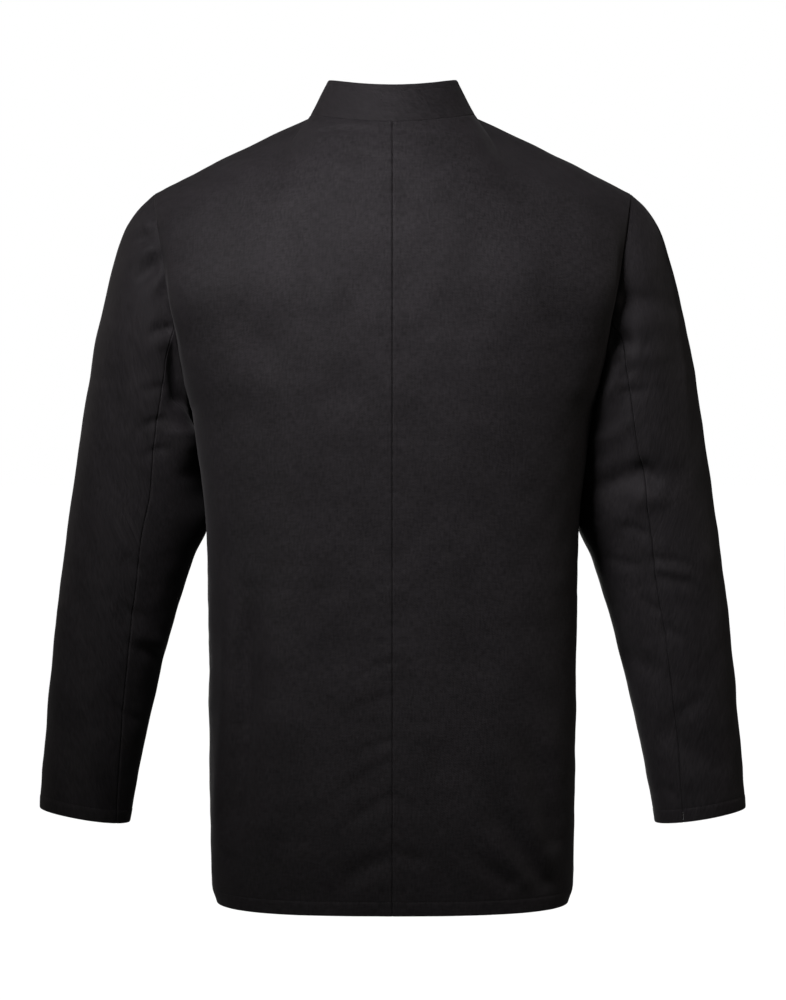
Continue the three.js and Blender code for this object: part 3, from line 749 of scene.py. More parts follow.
def turned_in(grid, above):
    """The cloth of a body panel with its armhole edge turned in, which closes the seam beside the sleeve."""
    points, normals, flat = grid
    depth = mix(RIM_LEAST, RIM_DEPTH, above[:, -1:])
    rim = points[:, -1] - normals[:, -1] * depth
    rim_flat = flat[:, -1] + depth * np.array((1, 0))
    return (
        np.concatenate([points, rim[:, None]], axis=1),
        np.concatenate([normals, normals[:, -1:]], axis=1),
        np.concatenate([flat, rim_flat[:, None]], axis=1),
    )


def body_rows(face):
    """The numbers up a body panel at its grid lines, with one at the underarm."""
    lower = numbers_at(lambda up: body_point(face, ROWS_ACROSS, up), 0, 1, HEM_LINES, ())
    upper = numbers_at(lambda up: body_point(face, ROWS_ACROSS, up), 1, 2, (), SEAM_LINES)
    return np.concatenate([lower, upper[1:]])


def at_armhole(up):
    """1 along the armhole, and 0 down the side seam and at the shoulder tip."""
    return ease(up, *ARMHOLE_START) * ease(2 - up, 0, TIP_FADE_UP)


def at_neck(face, across):
    """1 along the neck edge and 0 along the shoulder seam."""
    return 1 - ease(np.abs(across), NECK_SHARE[face] - EDGE_CHANGE, NECK_SHARE[face] + EDGE_CHANGE)


def back_level(across):
    """The curve of a back panel at one level."""
    return body_point("back", across, np.full_like(across, COLUMNS_UP))


def back_grid(side):
    """The cloth of a back panel."""
    columns = numbers_at(back_level, 0, 1, SEAM_LINES, SEAM_LINES)
    across, up = np.meshgrid(columns, body_rows("back"))
    points, normals = body_cloth(side, "back", across, up)
    above = at_armhole(up)
    neck = at_neck("back", across)
    edges = (
        ("start", "centre", 1),
        ("end", "seam", 1 - above),
        ("end", "armhole_over", above),
        ("first", "hem", 1),
        ("last", "seam", neck),
        ("last", "shoulder", 1 - neck),
    )
    return turned_in(finished(points, normals, edges), above)


def front_numbers(places, ups):
    """The numbers across and up a front, at places from the wrap's edge (-1) past the centre (0)
    to the side (1)."""
    distance = WRAP_WIDTH * np.maximum(-places, 0)
    top_z = NECK_FRONT_Z - WRAP_TOP_DROP * distance / WRAP_WIDTH
    top_up = search(1, 2, top_z, lambda up: plain_body_point("front", across_at(distance, up), up)[..., 2])
    top_up = np.where(places < 0, top_up, 2)
    place, up = np.meshgrid(places, ups)
    up = np.where(up <= 1, up, mix(1, top_up, up - 1))
    wrap = -across_at(np.broadcast_to(distance, up.shape), up)
    return np.where(place < 0, wrap, place), up


def front_level(places):
    """The curve of a front at one level, from its wrap's edge to its side."""
    across, up = front_numbers(places, np.array([COLUMNS_UP]))
    points = body_point("front", np.abs(across), up)
    points[..., 0] *= np.where(across < 0, -1, 1)
    return points[0]


def front_grid(side):
    """The cloth of a front; the wearer's left one lies over the right one."""
    columns = numbers_at(front_level, -1, 1, FREE_LINES, SEAM_LINES)
    across, up = front_numbers(columns, body_rows("front"))
    points, normals = body_cloth(side, "front", across, up, wrap_lift if side > 0 else no_lift)
    above = at_armhole(up)
    neck = at_neck("front", across)
    wrap = 1 - ease(across, -EDGE_CHANGE, EDGE_CHANGE)
    edges = (
        ("start", "free", 1),
        ("end", "seam", 1 - above),
        ("end", "armhole_over", above),
        ("first", "hem", 1),
        ("last", "seam", neck * (1 - wrap)),
        ("last", "shoulder", (1 - neck) * (1 - wrap)),
        ("last", "free", wrap),
    )
    return turned_in(finished(points, normals, edges), above)


def sleeve_angles(side, piece, share, down):
    """How far round its ring each place of a sleeve piece lies, from one long seam to the other."""
    back = table_values(SLEEVE_SEAMS, "down", down, "left" if side > 0 else "right")
    front = table_values(SLEEVE_SEAMS, "down", down, "front")
    start, end = (front - 360, back) if piece == "top" else (back, front)
    return np.radians(mix(start, end, share))


def sleeve_back(down):
    """The curve down the back of a sleeve."""
    return ring_point(down, np.full_like(down, QUARTER_TURN))


def sleeve_grid(side, piece):
    """The cloth of a sleeve's top or under piece."""

    def ring(share):
        level = np.full_like(share, SHARES_DOWN)
        return ring_point(level, sleeve_angles(side, piece, share, level))

    shares = numbers_at(ring, 0, 1, SEAM_LINES, SEAM_LINES)
    downs = numbers_at(sleeve_back, 0, 1, SEAM_LINES, HEM_LINES)
    share, down = np.meshgrid(shares, downs)
    angles = sleeve_angles(side, piece, share, down)
    points, normals = sleeve_cloth(side, down, angles)
    from_tip = np.abs(angles)
    from_tip = np.degrees(np.minimum(from_tip, 2 * HALF_TURN - from_tip))
    edges = (
        ("start", "seam", 1),
        ("end", "seam", 1),
        ("first", "armhole_under", ease(from_tip, *TIP_FADE_TURN)),
        ("last", "hem", 1),
    )
    return finished(points, normals, edges)


def neck_edge(station):
    """The finished neck edge of the body: 0 is the centre back, 1 and -1 the shoulder seams,
    2 and -2 the front."""
    side = np.where(station < 0, -1, 1)
    share = np.abs(station)
    top = np.full_like(share, 2)
    back, _ = body_cloth(side, "back", NECK_SHARE["back"] * np.minimum(share, 1), top)
    front_across = NECK_SHARE["front"] * np.clip(2 - share, 0, 1)
    front, _ = body_cloth(side, "front", front_across, top, lambda points: wrap_lift(points) * (side > 0))
    return np.where((share <= 1)[..., None], back, front)


def collar_point(station, height):
    """Points of the collar's outer face."""
    share = np.abs(station)
    turn = np.where(share <= 1, SEAM_TURN * share, mix(SEAM_TURN, HALF_TURN, share - 1))
    end_lean = np.where(turn < QUARTER_TURN, COLLAR_LEAN_BACK, COLLAR_LEAN_FRONT)
    lean_x = COLLAR_LEAN_SIDE * np.sin(turn)
    lean_y = end_lean * np.cos(turn)
    rise = np.sqrt(COLLAR_HEIGHT**2 - lean_x**2 - lean_y**2)
    slant = joined(-lean_x * np.where(station < 0, -1, 1), -lean_y, rise)
    return neck_edge(station) + slant * (height / COLLAR_HEIGHT)[..., None]


def collar_grid():
    """The cloth of the collar, with its front corners rounded."""
    tries = np.linspace(0, 2, NECK_TRIES)
    end_gap = COLLAR_FRONT_GAP / 2
    ends = []
    for side in (-1, 1):
        reached = lengths_along(neck_edge(tries * side))
        ends.append(side * np.interp(reached[-1] - end_gap, reached, tries))
    stations = numbers_at(neck_edge, *ends, FREE_LINES, FREE_LINES)
    reached = lengths_along(neck_edge(stations))
    from_end = np.minimum(reached, reached[-1] - reached)
    corner = COLLAR_CORNER - np.minimum(from_end, COLLAR_CORNER)
    drop = COLLAR_CORNER - np.sqrt(COLLAR_CORNER**2 - corner**2)
    rows = line_places(COLLAR_HEIGHT, SEAM_LINES, FREE_LINES, COLLAR_PITCH) / COLLAR_HEIGHT
    station, row = np.meshgrid(stations, rows)
    height = mix(-COLLAR_TUCK, COLLAR_HEIGHT - drop, row)
    points = collar_point(station, height)
    normals = facing(collar_point, station, height, ends, (-COLLAR_TUCK, COLLAR_HEIGHT))
    edges = (("start", "free", 1), ("end", "free", 1), ("first", "seam", 1), ("last", "collar_top", 1))
    return finished(points, normals, edges)


def grid_mesh(name, points, normals, flat):
    """A mesh over rows and columns of points, facing outwards, with its flat layout in metres
    as its UV map."""
    rows, columns = points.shape[:2]
    bm = bmesh.new()
    bm.loops.layers.uv.new("UVMap")
    bmesh.ops.create_grid(bm, x_segments=columns - 1, y_segments=rows - 1, size=0.5, calc_uvs=True)
    mesh = bpy.data.meshes.new(name)
    bm.to_mesh(mesh)
    bm.free()
    places = np.empty(len(mesh.vertices) * 3, np.float32)
    mesh.vertices.foreach_get("co", places)
    places = places.reshape(-1, 3) + 0.5
    column = np.rint(places[:, 0] * (columns - 1)).astype(int)
    row = np.rint(places[:, 1] * (rows - 1)).astype(int)
    mesh.vertices.foreach_set("co", (points[row, column] * MM).ravel())
    corners = np.empty(len(mesh.loops), np.int32)
    mesh.loops.foreach_get("vertex_index", corners)
    layout = flat[row, column][corners, :2] * MM
    mesh.uv_layers["UVMap"].data.foreach_set("uv", layout.ravel())
    mesh.update()
    first = mesh.polygons[0]
    if first.normal.dot(Vector(normals[row[first.vertices[0]], column[first.vertices[0]]])) < 0:
        mesh.flip_normals()
    mesh.polygons.foreach_set("use_smooth", np.ones(len(mesh.polygons), bool))
    mesh.update()
    return mesh


def cut_size(points):
    """The widest width, the longest length and the area of a cloth grid, in metres and square metres."""
    width = lengths_along(points)[:, -1].max() * MM
    length = lengths_along(np.swapaxes(points, 0, 1))[:, -1].max() * MM
    diagonals = np.cross(points[1:, 1:] - points[:-1, :-1], points[1:, :-1] - points[:-1, 1:])
    area = np.linalg.norm(diagonals, axis=-1).sum() / 2 * MM * MM
    return width, length, area


def add_node(tree, kind, inputs, **settings):
    """A shader node with its settings, and with values or other nodes' outputs on its inputs."""
    node = tree.nodes.new(kind)
    for name, value in settings.items():
        setattr(node, name, value)
    for name, value in inputs.items():
        if isinstance(value, bpy.types.NodeSocket):
            tree.links.new(value, node.inputs[name])
        else:
            node.inputs[name].default_value = value
    return node


def new_material(name):
    """An empty material with its shader and output, or None where it is made already."""
    if name in bpy.data.materials:
        return None
    material = bpy.data.materials.new(name)
    material.use_nodes = True
    material.node_tree.nodes.clear()
    return material


def finish_material(tree, **inputs):
    """The shader of a material, joined to its output."""
    shader = add_node(tree, "ShaderNodeBsdfPrincipled", inputs_named(inputs))
    add_node(tree, "ShaderNodeOutputMaterial", {"Surface": shader.outputs["BSDF"]})


def inputs_named(inputs):
    return {name.replace("_", " ").title().replace("Ior", "IOR"): value for name, value in inputs.items()}


def twill_material():
    """Black polycotton twill: matt, with a fine grain of uneven threads both ways, faint slanting ribs
    and a faint bloom where it turns away. Real threads and ribs are under a millimetre apart, too fine for
    the picture, so the threads are drawn 1.7 mm wide and the ribs 1.5 mm apart."""
    material = new_material("polycotton twill")
    if material is None:
        return bpy.data.materials["polycotton twill"]
    looks = bpy.context.scene.jacket_looks
    tree = material.node_tree
    layout = add_node(tree, "ShaderNodeUVMap", {}, uv_map="UVMap").outputs["UV"]
    slanted = add_node(tree, "ShaderNodeMapping", {"Vector": layout, "Rotation": (0, 0, math.radians(63))})
    period = 2 * math.pi / 20
    ribs = add_node(
        tree,
        "ShaderNodeTexWave",
        {
            "Vector": slanted.outputs["Vector"],
            "Scale": period / looks.rib_spacing,
            "Distortion": 1.2,
            "Detail": 1.0,
            "Detail Scale": 0.7,
        },
    )
    grains = []
    for size in ((THREAD_WIDTH, THREAD_LENGTH), (THREAD_LENGTH, THREAD_WIDTH)):
        stretch = (1 / size[0], 1 / size[1], 1)
        stretched = add_node(tree, "ShaderNodeMapping", {"Vector": layout, "Scale": stretch})
        grain = {"Vector": stretched.outputs["Vector"], "Scale": 1.0, "Detail": 2.0}
        grains.append(add_node(tree, "ShaderNodeTexNoise", grain))
    threads = add_node(
        tree,
        "ShaderNodeMix",
        {"Factor": 0.45, "A": grains[0].outputs["Fac"], "B": grains[1].outputs["Fac"]},
        data_type="FLOAT",
    )
    weave = add_node(
        tree,
        "ShaderNodeMix",
        {"Factor": 0.88, "A": ribs.outputs["Fac"], "B": threads.outputs["Result"]},
        data_type="FLOAT",
    )
    raised = add_node(
        tree,
        "ShaderNodeBump",
        {"Strength": looks.rib_strength, "Distance": 0.0004, "Height": weave.outputs["Result"]},
    )
    patches = add_node(tree, "ShaderNodeTexNoise", {"Vector": layout, "Scale": 24.0, "Detail": 3.0})
    shade = add_node(
        tree,
        "ShaderNodeMapRange",
        {"Value": patches.outputs["Fac"], "From Min": 0.3, "From Max": 0.7, "To Min": 0.86, "To Max": 1.14},
    )
    flecks = add_node(
        tree,
        "ShaderNodeMapRange",
        {
            "Value": weave.outputs["Result"],
            "From Min": 0.35,
            "From Max": 0.65,
            "To Min": 0.58,
            "To Max": 1.42,
        },
    )
    dye = add_node(
        tree,
        "ShaderNodeVectorMath",
        {0: (*looks.cloth,), "Scale": shade.outputs["Result"]},
        operation="SCALE",
    )
    colour = add_node(
        tree,
        "ShaderNodeVectorMath",
        {0: dye.outputs["Vector"], "Scale": flecks.outputs["Result"]},
        operation="SCALE",
    )
    finish_material(
        tree,
        base_color=colour.outputs["Vector"],
        roughness=0.72,
        specular_ior_level=looks.cloth_shine,
        sheen_weight=looks.cloth_bloom,
        sheen_roughness=0.45,
        normal=raised.outputs["Normal"],
    )
    return material


def plain_material(name, colour, roughness, shine=0.5):
    """One colour with its own roughness, used for the sewing thread."""
    material = new_material(name)
    if material is None:
        return bpy.data.materials[name]
    finish_material(
        material.node_tree, base_color=(*colour, 1), roughness=roughness, specular_ior_level=shine
    )
    return material


def plastic_material():
    """Satin black button plastic, very slightly mottled so that its highlight isn't perfect."""
    material = new_material("button plastic")
    if material is None:
        return bpy.data.materials["button plastic"]
    looks = bpy.context.scene.jacket_looks
    tree = material.node_tree
    place = add_node(tree, "ShaderNodeTexCoord", {}).outputs["Object"]
    mottle = add_node(tree, "ShaderNodeTexNoise", {"Vector": place, "Scale": 900.0, "Detail": 2.0})
    rough = add_node(
        tree, "ShaderNodeMapRange", {"Value": mottle.outputs["Fac"], "To Min": 0.32, "To Max": 0.46}
    )
    finish_material(
        tree, base_color=(*looks.button, 1), roughness=rough.outputs["Result"], specular_ior_level=0.5
    )
    return material


def new_piece(name, mesh, material):
    """A piece of the jacket in the scene, on the jacket's one body."""
    piece = bpy.data.objects.new(name, mesh)
    bpy.context.collection.objects.link(piece)
    mesh.materials.append(material)
    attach(piece, "root")
    return piece


def new_cloth(name, grid, node, wall):
    """A cloth piece in place of its solid."""
    points, normals, flat = grid
    piece = new_piece(name, grid_mesh(name, points, normals, flat), twill_material())
    thickness = piece.modifiers.new("Cloth thickness", "SOLIDIFY")
    thickness.thickness = wall
    thickness.offset = -1
    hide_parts(node)
    width, length, area = cut_size(points)


def tiled(name, shape, places, along, outward):
    """Copies of a small shape in one mesh, at places, turned along and outward."""
    beside = np.cross(outward, along)
    vertices = np.array([vertex.co for vertex in shape.vertices])
    turned = (
        vertices[None, :, 0, None] * along[:, None]
        + vertices[None, :, 1, None] * beside[:, None]
        + vertices[None, :, 2, None] * outward[:, None]
    )
    copies = (places[:, None] + turned).reshape(-1, 3) * MM
    faces = []
    for copy in range(len(places)):
        first = copy * len(vertices)
        faces.extend([[first + corner for corner in face.vertices] for face in shape.polygons])
    mesh = bpy.data.meshes.new(name)
    mesh.from_pydata(copies.tolist(), [], faces)
    mesh.polygons.foreach_set("use_smooth", np.ones(len(mesh.polygons), bool))
    mesh.update()
    return mesh


def stitch_shape(length, width, height):
    """One stitch of thread, half sunk, in millimetres."""
    bm = bmesh.new()
    size = Matrix.Diagonal((length, width, height, 1))
    bmesh.ops.create_uvsphere(bm, u_segments=8, v_segments=5, radius=0.5, matrix=size)
    mesh = bpy.data.meshes.new("stitch shape")
    bm.to_mesh(mesh)
    bm.free()
    return mesh


def evenly(line, outward, pitch):
    """Places at an even pitch on a line of points, with the directions along it and outward there."""
    reached = lengths_along(line)
    places = np.arange(pitch / 2, reached[-1], pitch)

    def between(rows, run):
        return np.stack([np.interp(run, reached, column) for column in rows.T], axis=-1)

    along = unit(between(line, places + 0.5) - between(line, places - 0.5))
    out = between(outward, places)
    out = unit(out - along * np.sum(out * along, axis=-1, keepdims=True))
    return between(line, places), along, out


def line_at(lines, distance):
    """The grid line that lies at a distance from its edge, counted from that edge."""
    return 1 + lines.index(distance)


def hem_runs():
    """The stitched lines of the hem, the cuffs, the fronts' free edges and the collar, each with its
    outward direction."""
    from_first = line_at(HEM_LINES, HEM_STITCH)
    from_last = -1 - from_first
    free = line_at(FREE_LINES, FREE_STITCH)
    for side in (1, -1):
        points, normals, _ = back_grid(side)
        yield points[from_first], normals[from_first]
        points, normals, _ = front_grid(side)
        yield points[from_first], normals[from_first]
        yield points[from_first:, free], normals[from_first:, free]
        for piece in ("top", "under"):
            points, normals, _ = sleeve_grid(side, piece)
            yield points[from_last], normals[from_last]
    points, normals, _ = collar_grid()
    yield points[-1 - free, free:-free], normals[-1 - free, free:-free]
    yield points[1:-free, free], normals[1:-free, free]
    yield points[1:-free, -1 - free], normals[1:-free, -1 - free]


def front_spot(x, z):
    """Points of the over front's outer face at distances to the side and heights, with the directions
    that they face."""
    up = search(0, 2, z, lambda row: plain_body_point("front", across_at(np.abs(x), row), row)[..., 2])
    across = across_at(np.abs(x), up) * np.sign(x)
    points, normals = body_cloth(1, "front", across, up, wrap_lift)
    return points + normals * wave_height(points)[..., None], normals


def button_shape():
    """A round four-hole button with a rolled rim and a sunken middle, lying on its back, in millimetres."""
    bm = bmesh.new()
    corners = [
        bm.verts.new((radius * BUTTON_RADIUS, 0, height * BUTTON_HEIGHT)) for radius, height in BUTTON_PROFILE
    ]
    edges = [bm.edges.new(pair) for pair in zip(corners, corners[1:])]
    bmesh.ops.spin(
        bm,
        geom=corners + edges,
        cent=(0, 0, 0),
        axis=(0, 0, 1),
        angle=2 * math.pi,
        steps=BUTTON_STEPS,
        use_merge=True,
    )
    bmesh.ops.remove_doubles(bm, verts=bm.verts, dist=0.001)
    bmesh.ops.recalc_face_normals(bm, faces=bm.faces)
    button = bpy.data.meshes.new("button shape")
    bm.to_mesh(button)
    bm.free()
    drill = bmesh.new()
    for x in (-HOLE_OFFSET, HOLE_OFFSET):
        for y in (-HOLE_OFFSET, HOLE_OFFSET):
            bmesh.ops.create_cone(
                drill,
                cap_ends=True,
                segments=HOLE_SEGMENTS,
                radius1=HOLE_RADIUS,
                radius2=HOLE_RADIUS,
                depth=4 * BUTTON_HEIGHT,
                matrix=Matrix.Translation((x, y, 0)),
            )
    holes = bpy.data.meshes.new("hole shape")
    drill.to_mesh(holes)
    drill.free()
    pair = [bpy.data.objects.new(mesh.name, mesh) for mesh in (button, holes)]
    for piece in pair:
        bpy.context.collection.objects.link(piece)
    cut = pair[0].modifiers.new("Holes", "BOOLEAN")
    cut.object = pair[1]
    cut.solver = "EXACT"
    graph = bpy.context.evaluated_depsgraph_get()
    made = bpy.data.meshes.new_from_object(pair[0].evaluated_get(graph))
    for piece in pair:
        bpy.data.objects.remove(piece)
    return made


def button_rows():
    """The height of each row of buttons."""
    return BUTTON_TOP_Z - BUTTON_PITCH * np.arange(BUTTON_ROWS)


def button_places():
    """The middle of each button on the over front, and the direction that it faces."""
    columns = np.repeat((BUTTON_COLUMN_X, -BUTTON_COLUMN_X), BUTTON_ROWS).astype(float)
    return front_spot(columns, np.tile(button_rows(), 2))


def level_direction(normals):
    """A direction across the cloth that is level, square to each normal."""
    return unit(np.cross(normals, np.array((0, 0, 1.0))))


def aim(item, target):
    item.rotation_euler = (Vector(target) - item.location).to_track_quat("-Z", "Y").to_euler()


def soft_light(name, place, target, size, power, spread, colour):
    """A square soft light that looks at a point; sizes in metres and the spread in degrees."""
    lamp = bpy.data.lights.new(name, "AREA")
    lamp.color = linear(colour)
    lamp.shape = "SQUARE"
    lamp.size = size
    lamp.energy = power
    lamp.spread = math.radians(spread)
    item = bpy.data.objects.new(name, lamp)
    item.location = place
    aim(item, target)
    bpy.context.collection.objects.link(item)


def floor_material(colour):
    """A pale floor that throws little light back up, as black cards out of the picture see to."""
    material = new_material("pale studio floor")
    if material is None:
        return bpy.data.materials["pale studio floor"]
    tree = material.node_tree
    seen = add_node(tree, "ShaderNodeLightPath", {}).outputs["Is Camera Ray"]
    share = add_node(tree, "ShaderNodeMapRange", {"Value": seen, "To Min": FLOOR_THROWN, "To Max": 1.0})
    shade = add_node(
        tree, "ShaderNodeVectorMath", {0: (*colour,), "Scale": share.outputs["Result"]}, operation="SCALE"
    )
    finish_material(tree, base_color=shade.outputs["Vector"], roughness=0.9, specular_ior_level=0.1)
    return material


def white_world():
    """White surroundings, which light the jacket only faintly, as black cards beside a white backdrop do."""
    world = bpy.data.worlds.new("white studio")
    world.use_nodes = True
    tree = world.node_tree
    tree.nodes.clear()
    seen = add_node(tree, "ShaderNodeLightPath", {}).outputs["Is Camera Ray"]
    strength = add_node(
        tree, "ShaderNodeMapRange", {"Value": seen, "To Min": WORLD_LIGHT, "To Max": WORLD_SEEN}
    )
    glow = {"Color": (1, 1, 1, 1), "Strength": strength.outputs["Result"]}
    sky = add_node(tree, "ShaderNodeBackground", glow)
    add_node(tree, "ShaderNodeOutputWorld", {"Surface": sky.outputs["Background"]})
    return world


def floor_light(floor):
    """An overhead light for the floor alone, which keeps it as pale as the surroundings."""
    lamp = bpy.data.lights.new("floor light", "SUN")
    lamp.energy = FLOOR_LIGHT
    lamp.angle = math.radians(FLOOR_LIGHT_ANGLE)
    item = bpy.data.objects.new("floor light", lamp)
    bpy.context.collection.objects.link(item)
    lit = bpy.data.collections.new("floor only")
    lit.objects.link(floor)
    item.light_linking.receiver_collection = lit


class JacketSizes(bpy.types.PropertyGroup):
    cloth_wall: FloatProperty(
        name="Cloth wall",
        description="Thickness of the worn cloth with its hems",
        default=0.0014,
        unit="LENGTH",
    )
    collar_wall: FloatProperty(
        name="Collar wall", description="Thickness of the doubled collar", default=0.002, unit="LENGTH"
    )
    stitch_length: FloatProperty(
        name="Stitch length", description="Length of one stitch in millimetres", default=2.4
    )
    stitch_pitch: FloatProperty(
        name="Stitch pitch", description="From one stitch to the next in millimetres", default=2.9
    )
    stitch_width: FloatProperty(
        name="Stitch width", description="Thickness of the thread in millimetres", default=0.38
    )
    buttonhole_length: FloatProperty(
        name="Buttonhole length", description="Length of a buttonhole in millimetres", default=21
    )


class JacketLooks(bpy.types.PropertyGroup):
    cloth: FloatVectorProperty(
        name="Cloth",
        description="Dye of the twill",
        subtype="COLOR",
        min=0,
        max=1,
        default=linear("#0f0e0f"),
    )
    cloth_shine: FloatProperty(
        name="Cloth shine", description="How strongly the twill reflects", default=0.04, min=0, max=1
    )
    cloth_bloom: FloatProperty(
        name="Cloth bloom", description="Pale bloom where the cloth turns away", default=0.012, min=0, max=1
    )
    rib_spacing: FloatProperty(
        name="Rib spacing", description="From one twill rib to the next", default=0.0015, unit="LENGTH"
    )
    rib_strength: FloatProperty(
        name="Rib strength", description="How far the twill ribs stand out", default=0.35, min=0, max=1
    )
    thread: FloatVectorProperty(
        name="Thread",
        description="Dye of the sewing thread",
        subtype="COLOR",
        min=0,
        max=1,
        default=linear("#121112"),
    )
    button: FloatVectorProperty(
        name="Buttons",
        description="Colour of the button plastic",
        subtype="COLOR",
        min=0,
        max=1,
        default=linear("#161617"),
    )
    floor: FloatVectorProperty(
        name="Floor",
        description="Colour of the studio floor",
        subtype="COLOR",
        min=0,
        max=1,
        default=linear("#f4f4f4"),
    )


class JACKET_OT_back(bpy.types.Operator):
    """Makes the two back panels, joined by the centre back seam"""

    bl_idname = "jacket.back"
    bl_label = "Back panels"

    def execute(self, context):
        wall = context.scene.jacket_sizes.cloth_wall
        for side, name in ((1, "back_left"), (-1, "back_right")):
            new_cloth(f"{name}_cloth", back_grid(side), name, wall)
        return {"FINISHED"}


class JACKET_OT_fronts(bpy.types.Operator):
    """Makes the two fronts; the wearer's left one laps over the right one"""

    bl_idname = "jacket.fronts"
    bl_label = "Fronts"

    def execute(self, context):
        wall = context.scene.jacket_sizes.cloth_wall
        for side, name in ((1, "front_left_over"), (-1, "front_right_under")):
            new_cloth(f"{name}_cloth", front_grid(side), name, wall)
        return {"FINISHED"}


class JACKET_OT_sleeves(bpy.types.Operator):
    """Makes the top and under pieces of both sleeves"""

    bl_idname = "jacket.sleeves"
    bl_label = "Sleeves"

    def execute(self, context):
        wall = context.scene.jacket_sizes.cloth_wall
        for side, place in ((1, "left"), (-1, "right")):
            for piece in ("top", "under"):
                name = f"sleeve_{place}_{piece}"
                new_cloth(f"{name}_cloth", sleeve_grid(side, piece), name, wall)
        return {"FINISHED"}


class JACKET_OT_collar(bpy.types.Operator):
    """Makes the stand collar on the finished neck edge"""

    bl_idname = "jacket.collar"
    bl_label = "Collar"

    def execute(self, context):
        new_cloth("collar_cloth", collar_grid(), "collar", context.scene.jacket_sizes.collar_wall)
        return {"FINISHED"}


class JACKET_OT_stitching(bpy.types.Operator):
    """Sews the hem, the cuffs, the free front edges and the collar"""

    bl_idname = "jacket.stitching"
    bl_label = "Stitching"

    def execute(self, context):
        sizes = context.scene.jacket_sizes
        made = [evenly(line, outward, sizes.stitch_pitch) for line, outward in hem_runs()]
        places, along, outward = (np.concatenate(part) for part in zip(*made))
        shape = stitch_shape(sizes.stitch_length, sizes.stitch_width, sizes.stitch_width)
        looks = context.scene.jacket_looks
        thread = plain_material("sewing thread", looks.thread, 0.7, 0.06)
        new_piece("stitching", tiled("stitching", shape, places, along, outward), thread)
        return {"FINISHED"}


class JACKET_OT_buttons(bpy.types.Operator):
    """Makes the ten four-hole buttons, their thread and the worked buttonholes"""

    bl_idname = "jacket.buttons"
    bl_label = "Buttons"

    def execute(self, context):
        sizes, looks = context.scene.jacket_sizes, context.scene.jacket_looks
        thread = plain_material("sewing thread", looks.thread, 0.7, 0.06)
        places, outward = button_places()
        level = level_direction(outward)
        shape = button_shape()
        seated = tiled("buttons", shape, places + outward * BUTTON_SEAT, level, outward)
        buttons = new_piece("buttons", seated, plastic_material())
        nodes = [f"button_{side}_{row + 1}" for side in ("left", "right") for row in range(BUTTON_ROWS)]
        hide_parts(*nodes)

        upright = np.cross(outward, level)
        lift = BUTTON_SEAT + BUTTON_HEIGHT * WELL_HEIGHT
        strands = [
            (places + outward * lift + upright * (across + beside), level, outward)
            for across in (-HOLE_OFFSET, HOLE_OFFSET)
            for beside in (-STRAND_STEP, 0, STRAND_STEP)
        ]
        strand = stitch_shape(2 * HOLE_OFFSET + STRAND_PAST, *STRAND_SIZE)
        strand_parts = (np.concatenate(part) for part in zip(*strands))
        new_piece("button_thread", tiled("button_thread", strand, *strand_parts), thread)

        start = -BUTTON_COLUMN_X - BUTTONHOLE_PAST
        reach = np.arange(start, start + sizes.buttonhole_length, BUTTONHOLE_STEP)
        rows = button_rows()
        beside = BUTTONHOLE_BAR * BUTTONHOLE_SPREAD
        x, z = (grid.ravel() for grid in np.meshgrid(reach, np.concatenate([rows - beside, rows + beside])))
        places, outward = front_spot(x, z)
        upright = np.cross(outward, level_direction(outward))
        bar = stitch_shape(BUTTONHOLE_BAR, BUTTONHOLE_THREAD, BUTTONHOLE_THREAD)
        new_piece("buttonholes", tiled("buttonholes", bar, places, upright, outward), thread)
        return {"FINISHED"}


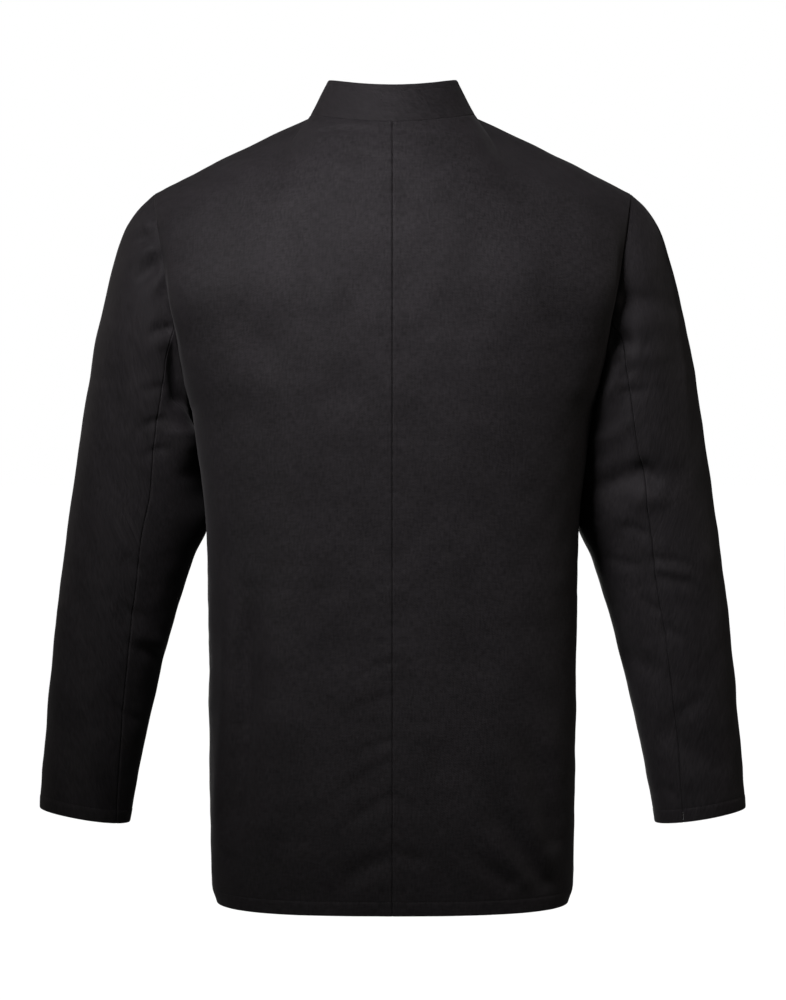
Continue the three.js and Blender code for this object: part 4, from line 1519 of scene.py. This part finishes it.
class JACKET_OT_studio(bpy.types.Operator):
    """Makes the plain pale floor, the soft lights and the camera behind the jacket"""

    bl_idname = "jacket.studio"
    bl_label = "Studio"

    def execute(self, context):
        looks = context.scene.jacket_looks
        bm = bmesh.new()
        level = Matrix.Translation((0, 0, FLOOR_Z))
        bmesh.ops.create_grid(bm, x_segments=1, y_segments=1, size=FLOOR_SIZE, matrix=level)
        mesh = bpy.data.meshes.new("floor")
        bm.to_mesh(mesh)
        bm.free()
        floor = bpy.data.objects.new("floor", mesh)
        context.collection.objects.link(floor)
        mesh.materials.append(floor_material(looks.floor))

        context.scene.world = white_world()
        for row in LIGHTS:
            soft_light(*row)
        floor_light(floor)
        context.scene.view_settings.view_transform = "Standard"

        camera = bpy.data.cameras.new("camera")
        camera.lens = CAMERA_LENS
        camera.sensor_width = CAMERA_SENSOR
        item = bpy.data.objects.new("camera", camera)
        item.location = CAMERA_PLACE
        item.rotation_euler = (math.radians(90 - CAMERA_DOWN), 0, math.pi)
        context.collection.objects.link(item)
        context.scene.camera = item
        return {"FINISHED"}


class JACKET_PT_steps(bpy.types.Panel):
    """The steps that make the jacket, with its sizes and colours"""

    bl_label = "Chef jacket"
    bl_idname = "JACKET_PT_steps"
    bl_space_type = "VIEW_3D"
    bl_region_type = "UI"
    bl_category = "Jacket"

    def draw(self, context):
        for group in (context.scene.jacket_sizes, context.scene.jacket_looks):
            column = self.layout.column()
            for name in group.__annotations__:
                column.prop(group, name)
        for step in STEPS:
            self.layout.operator(step.bl_idname)


STEPS = (
    JACKET_OT_back,
    JACKET_OT_fronts,
    JACKET_OT_sleeves,
    JACKET_OT_collar,
    JACKET_OT_stitching,
    JACKET_OT_buttons,
    JACKET_OT_studio,
)
CLASSES = (JacketSizes, JacketLooks, *STEPS, JACKET_PT_steps)


def register():
    for item in CLASSES:
        bpy.utils.register_class(item)
    bpy.types.Scene.jacket_sizes = PointerProperty(type=JacketSizes)
    bpy.types.Scene.jacket_looks = PointerProperty(type=JacketLooks)


def unregister():
    del bpy.types.Scene.jacket_looks
    del bpy.types.Scene.jacket_sizes
    for item in reversed(CLASSES):
        bpy.utils.unregister_class(item)


def main():
    register()
    bpy.ops.jacket.back()
    bpy.ops.jacket.fronts()
    bpy.ops.jacket.sleeves()
    bpy.ops.jacket.collar()
    bpy.ops.jacket.stitching()
    bpy.ops.jacket.buttons()
    bpy.ops.jacket.studio()


if __name__ == "__main__":
    main()
